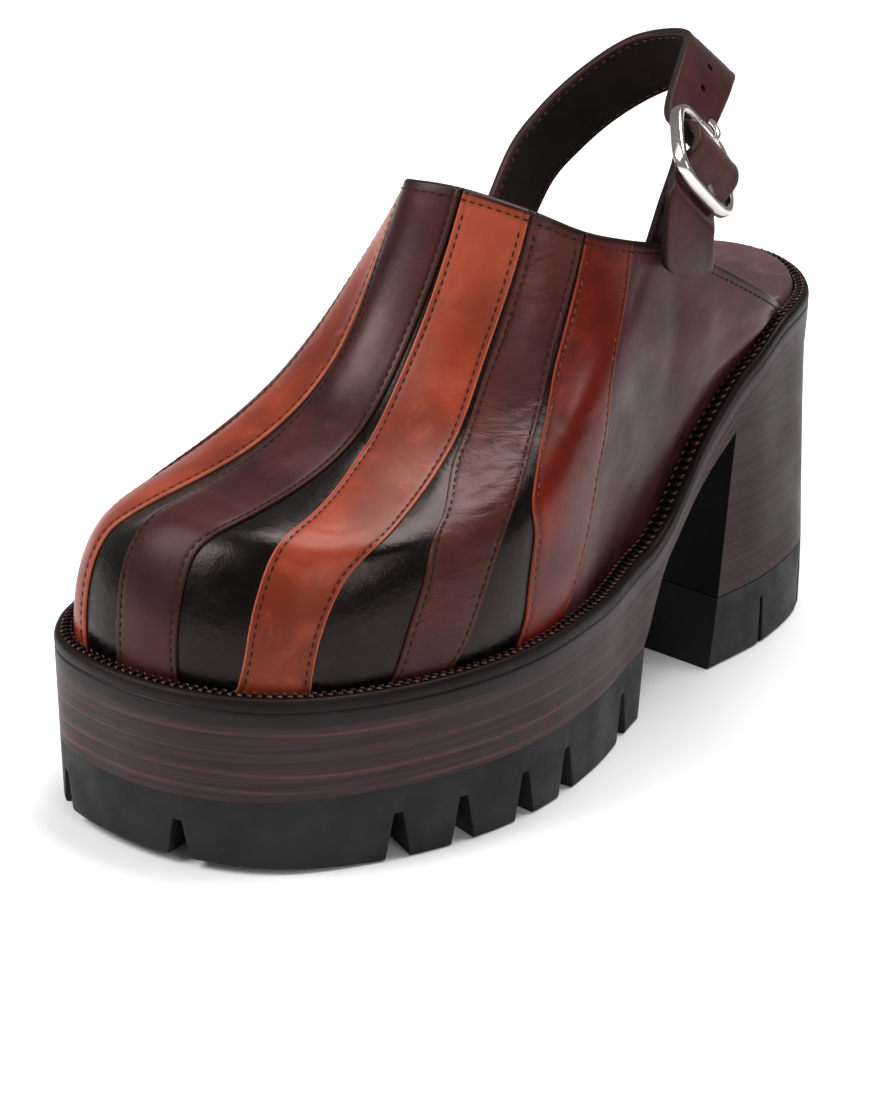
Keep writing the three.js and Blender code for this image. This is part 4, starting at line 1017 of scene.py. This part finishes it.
# Smooth dyed leather: clouded colour, darker beside the seams, a thin cut edge, a painted highlight towards
# the collar, fine grain
def leather(name, dark, main, light, edge=None, rough=(0.3, 0.46), grain=0.22, painted_collar_highlight=0.0, shine=0.27,
            wrinkle=0.0):
    n = Nodes(name)
    colour = n.mix(n.spread(n.noise(38, 3, 0.5), 0.35, 0.68), dark, main)
    # On the black leather the lighter patches and streaks below are painted reflection, since its light colour
    # is a sheen colour; on the other leathers they are random lighter tone and scuffs
    patch = n.spread(n.noise(90, 5, 0.62, distortion=0.6), 0.50, 0.76)
    colour = n.mix(n.math("MULTIPLY", patch, 0.42), colour, light)
    fine = n.spread(n.noise(700, 4, 0.7), 0.35, 0.75)
    colour = n.mix(n.math("MULTIPLY", fine, 0.2), colour, dark)
    scuff_and_sheen = n.spread(n.noise(260, 5, 0.7, stretch=(1, 1, 0.35), distortion=0.5), 0.66, 0.8)
    colour = n.mix(n.math("MULTIPLY", scuff_and_sheen, 0.3), colour, light)
    if edge:
        far = n.attribute("edge_mm")
        seam = n.spread(n.math("ABSOLUTE", n.math("SUBTRACT", far, STITCH_INSET)), 1.1, 0.1, 0.0, 0.7)
        colour = n.mix(seam, colour, dark)
        wear = n.math("MULTIPLY", n.spread(far, 0.62, 0.3), n.spread(n.noise(160, 4), 0.3, 0.6, 0.45, 0.95))
        colour = n.mix(wear, colour, edge)
        colour = n.mix(n.spread(far, 0.03, 0.0), colour, srgb(10, 7, 7))
        below = n.attribute("collar_mm")
        # Painted highlight: the leather is lightened towards the collar, where the top of the upper faces the
        # lamps
        colour = n.mix(n.spread(below, 46, 6, 0.0, painted_collar_highlight), colour, light)
        colour = n.mix(n.spread(below, 3.2, 1.4, 0.0, 0.5), colour, dark)
        colour = n.mix(n.spread(below, 0.7, 0.3, 0.0, 0.9), colour, srgb(22, 14, 15))
    roughness = n.spread(n.noise(60, 4, 0.6), 0.3, 0.75, rough[0], rough[1])
    normal = n.bump(n.cells(1300), grain * 0.35, 0.00008)
    normal = n.bump(n.noise(420, 6, 0.7, distortion=0.4), grain, 0.00016, normal)
    normal = n.bump(n.noise(75, 3, 0.5), grain * 0.8, 0.0006, normal)
    if wrinkle:
        lines = n.noise(150, 4, 0.55, stretch=(0.5, 0.6, 2.2), turn=(0.5, 0.3, 0.6), distortion=0.5)
        normal = n.bump(lines, wrinkle, 0.0009, normal)
    return n.finish(colour, roughness, normal, Specular_IOR_Level=shine,
                    Specular_Tint=(1.0, 0.76, 0.7, 1.0))


def rubber(name):
    n = Nodes(name)
    colour = n.mix(n.spread(n.noise(55, 5, 0.6), 0.3, 0.75), srgb(9, 9, 10), srgb(17, 17, 17))
    dust = n.spread(n.noise(900, 3, 0.8), 0.58, 0.8)
    colour = n.mix(n.math("MULTIPLY", dust, 0.25), colour, srgb(32, 31, 31))
    normal = n.bump(n.noise(1500, 3, 0.6), 0.25, 0.0001)
    normal = n.bump(n.noise(120, 4), 0.25, 0.0003, normal)
    return n.finish(colour, n.spread(n.noise(80, 4), 0.3, 0.7, 0.5, 0.7), normal, Specular_IOR_Level=0.3)


# Stacked side: dark band, then level reddish lines; faces that look down and the heel's breast are painted
# near-black as shade
def stack(name, layered):
    n = Nodes(name)
    streak = n.noise(60, 6, 0.65, stretch=(0.22, 0.22, 16.0), distortion=0.15)
    colour = n.mix(n.spread(streak, 0.36, 0.66), srgb(36, 22, 23), srgb(56, 36, 38))
    fine = n.noise(140, 5, 0.7, stretch=(0.12, 0.12, 22.0))
    colour = n.mix(n.math("MULTIPLY", n.spread(fine, 0.55, 0.72), 0.5), colour, srgb(76, 46, 47))
    if layered:
        depth = n.attribute("depth_mm")
        wander = n.math("ADD", depth, n.spread(n.noise(16, 2), 0.3, 0.7, -0.3, 0.3))
        for centre, half in ((9.7, 0.35), (15.2, 0.35), (20.8, 0.4), (25.3, 0.35)):
            near = n.math("ABSOLUTE", n.math("SUBTRACT", wander, centre))
            broken = n.spread(n.noise(26, 3, stretch=(1, 1, 9)), 0.36, 0.6, 0.1, 0.6)
            line = n.math("MULTIPLY", n.spread(near, half * 1.9, half * 0.2), broken)
            colour = n.mix(line, colour, srgb(96, 54, 53))
        # The dark band under the top edge is lightened from the toe towards the waist and heel: painted light
        # from the side, over the band's own dark colour
        band = n.mix(n.spread(n.along(), -0.07, 0.02), srgb(25, 19, 20), srgb(66, 55, 59))
        colour = n.mix(n.spread(wander, 8.0, 7.2), colour, band)
    patch = n.spread(n.noise(30, 4), 0.4, 0.75)
    colour = n.mix(n.math("MULTIPLY", patch, 0.35), colour, srgb(27, 18, 19))
    # Painted shade: faces that look down and the heel's breast turn near-black
    colour = n.mix(n.attribute("underside_shade"), colour, srgb(12, 10, 11))
    normal = n.bump(streak, 0.2, 0.0003)
    normal = n.bump(n.noise(700, 3), 0.15, 0.0001, normal)
    return n.finish(colour, n.spread(n.noise(45, 4), 0.3, 0.7, 0.42, 0.56), normal, Specular_IOR_Level=0.2)


def thread(name, low, high):
    n = Nodes(name)
    colour = n.mix(n.spread(n.noise(900, 3), 0.35, 0.65), low, high)
    twist = n.noise(2200, 3, 0.6)
    return n.finish(colour, 0.8, n.bump(twist, 0.4, 0.0001), Specular_IOR_Level=0.15)


def metal(name):
    n = Nodes(name)
    scratch = n.noise(500, 5, 0.7, stretch=(1, 1, 6))
    colour = n.mix(n.spread(n.noise(120, 4), 0.35, 0.7), srgb(205, 198, 194), srgb(228, 222, 218))
    rough = n.spread(scratch, 0.35, 0.8, 0.1, 0.24)
    return n.finish(colour, rough, n.bump(scratch, 0.08, 0.0001), Metallic=1.0)


# Leathers: dark, main and light colour, the cut edge's colour where one shows, and what else differs
LEATHERS = (
    # Tan and brown carry a painted highlight towards the collar
    ("tan", (98, 34, 17), (134, 51, 27), (164, 78, 54), (166, 88, 64), {"painted_collar_highlight": 0.45}),
    ("rust", (66, 9, 4), (108, 23, 11), (130, 38, 20), (132, 56, 38), {}),
    ("brown", (46, 17, 14), (74, 32, 27), (98, 50, 43), (50, 19, 16), {"painted_collar_highlight": 0.15, "wrinkle": 0.4}),
    ("dark_brown", (37, 13, 12), (60, 25, 23), (80, 41, 38), (40, 16, 15), {}),
    # Black's light colour is a painted glossy reflection, laid in patches and streaks
    ("black", (4, 3, 4), (9, 7, 8), (44, 37, 38), (6, 4, 5),
     {"rough": (0.16, 0.36), "grain": 0.6, "shine": 0.24}),
    ("quarter", (54, 26, 26), (82, 46, 46), (102, 65, 67), (72, 34, 31), {"shine": 0.17}),
    ("lining", (16, 11, 12), (26, 18, 20), (36, 27, 29), {"rough": (0.5, 0.65)}),
    ("insole", (66, 44, 46), (86, 62, 65), (102, 79, 83), {"rough": (0.36, 0.5)}),
    ("welt", (7, 5, 5), (13, 9, 9), (24, 17, 18), {"rough": (0.45, 0.6), "shine": 0.18}),
    ("strap", (42, 16, 15), (68, 29, 27), (90, 46, 43), {}),
    ("strap_edge", (20, 11, 11), (32, 18, 18), (46, 28, 28), {"rough": (0.4, 0.6)}),
    ("strap_lining", (16, 11, 12), (26, 19, 20), (40, 31, 32), {"rough": (0.75, 0.9), "grain": 0.6}))
LEATHER = {name: leather(name + "_leather", *(srgb(*colour) for colour in colours), **more)
           for name, *colours, more in LEATHERS}
RUBBER = rubber("moulded_rubber")
STACK = stack("stacked_side", True)
HEEL_STACK = stack("stacked_heel_side", False)
DARK_THREAD = thread("dark_thread", srgb(20, 9, 8), srgb(44, 22, 18))
BRONZE_THREAD = thread("bronze_thread", srgb(70, 30, 16), srgb(124, 66, 40))
WELT_THREAD = thread("welt_thread", srgb(60, 34, 30), srgb(112, 74, 64))
NICKEL = metal("polished_nickel")
UPPER_MATERIALS = {kind: LEATHER["black" if kind == "wedge" else kind] for kind in (
    "quarter", "rust", "wedge", "brown", "tan", "dark_brown", "lining")}
BAND_MATERIALS = [LEATHER[name] for name in ("strap", "strap_lining", "strap_edge")]


def dress(piece, material):
    piece.data.materials.clear()
    piece.data.materials.append(material)
    return piece


def keep(piece, slot, *nodes):
    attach(piece, "root")
    if nodes:
        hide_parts(*nodes)


outsole = dress(outsole_piece(), RUBBER)
platform = dress(platform_piece(), STACK)
corner = np.array([tuple(vertex.co) for vertex in platform.data.vertices]) / MM
depth = platform.data.attributes.new("depth_mm", "FLOAT", "POINT")
depth.data.foreach_set("value", (top_edge(HEEL_Y - corner[:, 1]) - corner[:, 2]).astype(np.float32))
heel = dress(heel_piece(), HEEL_STACK)
# Faces that look down, and the heel's breast, are marked to be painted near-black as shade
for block_piece in (platform, heel):
    ways = np.array([tuple(polygon.normal) for polygon in block_piece.data.polygons])
    underside_shade = np.where((ways[:, 2] < -0.45) | ((ways[:, 1] < -0.6) & (block_piece is heel)), 1.0, 0.0)
    face_value = block_piece.data.attributes.new("underside_shade", "FLOAT", "FACE")
    face_value.data.foreach_set("value", underside_shade.astype(np.float32))
lift = dress(lift_piece(), RUBBER)
welt = dress(welt_piece(), LEATHER["welt"])
insole = dress(insole_piece(), LEATHER["insole"])
upper = upper_piece()
strap = band("heel_strap", strap_centre(), STRAP_WIDTH, STRAP_THICKNESS, 3.0)


# A straight round rod
def rod(radius, length, place, turn, sides):
    clear_selection()
    bpy.ops.mesh.primitive_cylinder_add(vertices=sides, radius=radius * MM, depth=length * MM,
                                        location=tuple(place * MM), rotation=turn)
    bpy.ops.object.transform_apply(location=True, rotation=True, scale=True)
    return bpy.context.object


# Two spare holes through the strap above the buckle
def strap_holes():
    middle, _, normal, at = band_line(strap_centre(), 0.25)
    ring_at = at[np.linalg.norm(middle - BUCKLE_MIDDLE, axis=1).argmin()]
    cutters = []
    for ahead in STRAP_HOLES:
        spot = np.abs(at - ring_at + ahead).argmin()
        turn = Vector(normal[spot]).to_track_quat("Z", "Y").to_euler()
        cutters.append(rod(HOLE_RADIUS, 8, middle[spot], turn, 18))
    return cutters


cut(strap, strap_holes())


def tab_rows():
    half, behind = TAB_WIDTH / 2, BAR_RADIUS + CLEARANCE + TAB_THICKNESS / 2
    rows = [(buckle_spot(a, -half, -behind), buckle_spot(a, half, -behind)) for a in (0.4, -3)]
    rows += anchor_rows(TAB_ANCHOR, TAB_THICKNESS, TAB_GAP)
    rows.insert(2, tuple((p + q) / 2 for p, q in zip(rows[1], rows[2])))
    return rows


tab = band("buckle_tab_strip", tab_rows(), TAB_WIDTH, TAB_THICKNESS, 0.5)


# Ring of the buckle: a rounded band swept round a soft rectangle, with its middle bar
def buckle_piece():
    steps = 120
    angle = np.linspace(0, 2 * np.pi, steps + 1)
    bend = (lambda value: np.sign(value) * np.abs(value) ** RING_ROUND)
    a = bend(np.cos(angle)) * (BUCKLE_LENGTH - BUCKLE_BAND) / 2
    b = bend(np.sin(angle)) * (BUCKLE_WIDTH - BUCKLE_BAND) / 2
    radial = unit(np.stack([a / BUCKLE_LENGTH**2, b / BUCKLE_WIDTH**2], 1))
    columns = []
    for k in range(17):
        q = 2 * math.pi * k / 16
        w = math.copysign(abs(math.cos(q)) ** 0.6, math.cos(q)) * BUCKLE_BAND / 2
        h = math.copysign(abs(math.sin(q)) ** 0.6, math.sin(q)) * BUCKLE_DEPTH / 2
        columns.append(BUCKLE_MIDDLE + BUCKLE_ALONG * (a + radial[:, 0] * w)[:, None]
                       + BUCKLE_ACROSS * (b + radial[:, 1] * w)[:, None] + BUCKLE_OUT * h)
    ring, _, _ = sheet("buckle_ring", np.stack(columns, 1))
    weld(ring)
    turn = Matrix([Vector(way) for way in (BUCKLE_OUT, BUCKLE_ALONG, BUCKLE_ACROSS)]).transposed()
    bar = rod(BAR_RADIUS, BUCKLE_WIDTH - 2, BUCKLE_MIDDLE, turn.to_euler(), 24)
    return smooth(join("buckle_ring", [ring, bar]), 50)


def prong_piece():
    end = BUCKLE_LENGTH / 2 - BUCKLE_BAND / 2
    path = (buckle_spot(BAR_RADIUS + CLEARANCE + PRONG_RADIUS, 0, 0),
            buckle_spot(6, 0, STRAP_OVER + STRAP_THICKNESS / 2 - 0.2),
            buckle_spot(end + 1, 0, BUCKLE_DEPTH / 2 + CLEARANCE + PRONG_RADIUS))
    t = np.linspace(0, 1, 30)
    line = curve_points(path, t)
    forward = unit(np.gradient(line, axis=0))
    lift_way = unit(np.cross(forward, BUCKLE_ACROSS))
    radius = PRONG_RADIUS * np.where(t > 0.9, np.sqrt(np.maximum(1 - ((t - 0.9) / 0.1) ** 2, 0.02)), 1)
    columns = [line + radius[:, None] * (BUCKLE_ACROSS * math.cos(q) + lift_way * math.sin(q))
               for q in np.linspace(0, 2 * np.pi, 15)]
    piece, _, _ = sheet("buckle_pin", np.stack(columns, 1))
    weld(piece)
    fill_holes(piece)
    return smooth(piece, 60)


ring = dress(buckle_piece(), NICKEL)
pin = dress(prong_piece(), NICKEL)


# Rows of thread beside every stripe edge and under the collar
def upper_stitches():
    v = np.linspace(SEWN_LOW, SEWN_HIGH, 240)
    dark, bronze = [], []
    lift = STRIPE_RAISE * 0.82
    for kind, low_edge, high_edge in PANELS:
        if kind in ("quarter", "wedge"):
            continue
        for edge, sign in ((low_edge, 1), (high_edge, -1)):
            r = edge(v)
            r = r + sign * STITCH_INSET / rib_pitch(r, v)
            line = shell_offset(r, v, np.full(len(v), lift))
            spots, ways, share = even_spots(line, STITCH_PITCH)
            place = SEWN_LOW + (SEWN_HIGH - SEWN_LOW) * share
            normals = shell_normal(np.interp(place, v, r), place)
            (bronze if kind == "rust" else dark).append((spots, ways, normals))
    r = np.linspace(0.3, LAST_RIB - 0.3, 900)
    level = 1 - COLLAR_STITCH / collar_pitch(r)
    raised = np.full(len(r), -0.12)
    for kind, low_edge, high_edge in PANELS:
        if kind not in ("quarter", "wedge"):
            raised[(r > low_edge(level)) & (r < high_edge(level))] = STRIPE_RAISE - 0.12
    line = shell_offset(r, level, raised)
    spots, ways, share = even_spots(line, STITCH_PITCH)
    place = np.interp(share, np.linspace(0, 1, len(r)), r)
    dark.append((spots, ways, shell_normal(place, np.interp(place, r, level))))
    out = []
    for name, rows, material in (("stripe_stitches", dark, DARK_THREAD),
                                 ("rust_stitches", bronze, BRONZE_THREAD)):
        spots, ways, normals = (np.vstack([row[k] for row in rows]) for k in range(3))
        out.append(stitches(name, spots, ways, normals, THREAD_LENGTH, THREAD_WIDTH, 0.0, material))
    return out


# Close ridges across the welt, each with a short brown stitch at both ends
def welt_stitches():
    def lane(share, lift):
        loop = welt_loop(share, lift, 400)
        return np.vstack([loop, loop[:1]])
    _, ways, share = even_spots(lane(0.56, 3.5), WELT_PITCH)

    def beside(line):
        length = run_length(line)
        return points_at(share, length / length[-1], line)
    outer, inner = beside(lane(0.28, 3.62)), beside(lane(0.84, 3.45))
    across = inner - outer
    normals = unit(np.cross(across, ways))
    normals *= np.sign(normals[:, 2:3])
    reach = np.linalg.norm(across, axis=1)[:, None, None]
    ridges = stitches("welt_ridges", (outer + inner) / 2, across, normals, reach, 1.25, 0.0, LEATHER["welt"])
    ends = stitches("welt_stitches", np.vstack([outer, inner]), np.vstack([ways + unit(across) * 0.5] * 2),
                    np.vstack([normals] * 2), 1.5, 0.62, 0.18, WELT_THREAD)
    return ridges, ends


def strap_stitches():
    middle, across, normal, at = band_line(strap_centre(), 0.5)
    rows = []
    end = int(np.sum(at < at[-1] - STRAP_SEWN_END))
    for edge in (1, -1):
        line = middle + across * edge * (STRAP_WIDTH / 2 - STRAP_INSET) - normal * (STRAP_THICKNESS / 2 - 0.08)
        spots, ways, share = even_spots(line[20:end], STRAP_PITCH)
        index = (20 + share * (end - 21)).astype(int)
        rows.append((spots, ways, -normal[index]))
    spots, ways, normals = (np.vstack([row[k] for row in rows]) for k in range(3))
    return stitches("strap_stitches", spots, ways, normals, 1.6, THREAD_WIDTH, 0.0, WELT_THREAD)


stripe_rows, rust_rows = upper_stitches()
welt_ridges, welt_rows = welt_stitches()
strap_rows = strap_stitches()

keep(outsole, "rubber", "outsole")
keep(platform, "stack", "platform")
keep(heel, "stack", "heel")
keep(lift, "rubber", "heel_lift")
keep(welt, "welt", "welt")
keep(insole, "insole", "insole")
keep(upper, "upper_leather", "upper")
keep(strap, "strap_leather", "strap")
keep(tab, "strap_leather", "buckle_tab")
keep(ring, "nickel", "buckle_frame")
keep(pin, "nickel", "buckle_prong")
keep(stripe_rows, "upper_leather")
keep(rust_rows, "upper_leather")
keep(welt_rows, "welt")
keep(welt_ridges, "welt")
keep(strap_rows, "strap_leather")

# Pale floor
clear_selection()
bpy.ops.mesh.primitive_plane_add(size=60)
floor = named(bpy.context.object, "floor")
paper = Nodes("floor_paper")
dress(floor, paper.finish((0.93, 0.93, 0.93), paper.spread(paper.noise(3, 2), 0.3, 0.7, 0.85, 0.95)))


# Soft lights: name, place, aim, size and power
LAMPS = (
    ("key_softbox", (-0.70, -1.10, 1.30), (0, -0.02, 0.07), (0.9, 0.9), 27),
    ("side_softbox", (1.30, -0.60, 0.85), (0, 0, 0.06), (0.5, 0.8), 5),
    ("top_softbox", (0.10, 0.45, 1.60), (0, 0, 0.05), (1.1, 0.8), 28))
for name, place, aim, size, power in LAMPS:
    data = bpy.data.lights.new(name, "AREA")
    data.shape = "RECTANGLE"
    data.size, data.size_y = size
    data.energy = power
    light = bpy.data.objects.new(name, data)
    bpy.context.scene.collection.objects.link(light)
    light.location = place
    light.rotation_euler = (Vector(place) - Vector(aim)).to_track_quat("Z", "Y").to_euler()

world = bpy.data.worlds.new("studio")
bpy.context.scene.world = world
world.use_nodes = True
world.node_tree.nodes["Background"].inputs["Color"].default_value = (1, 1, 1, 1)
world.node_tree.nodes["Background"].inputs["Strength"].default_value = 0.24
bpy.context.scene.view_settings.view_transform = "Standard"

# Camera: degrees round, up and rolled, point aimed at and distance in millimetres, lens and sensor
CAMERA_ROUND, CAMERA_UP, CAMERA_ROLL = (math.radians(angle) for angle in (41.474, 23.463, 0.07))
CAMERA_AIM, CAMERA_AWAY, CAMERA_LENS, CAMERA_SENSOR = (9.50, -26.96, 54.98), 1126.26, 144.7, 36.0
back = Vector((math.sin(CAMERA_ROUND) * math.cos(CAMERA_UP), -math.cos(CAMERA_ROUND) * math.cos(CAMERA_UP),
               math.sin(CAMERA_UP)))
data = bpy.data.cameras.new("camera")
data.lens, data.sensor_width = CAMERA_LENS, CAMERA_SENSOR
data.dof.use_dof = False
camera = bpy.data.objects.new("camera", data)
bpy.context.scene.collection.objects.link(camera)
camera.location = Vector(CAMERA_AIM) * MM + back * CAMERA_AWAY * MM
facing = back.to_track_quat("Z", "Y").to_matrix()
camera.rotation_euler = (facing @ Matrix.Rotation(CAMERA_ROLL, 3, "Z")).to_euler()
bpy.context.scene.camera = camera
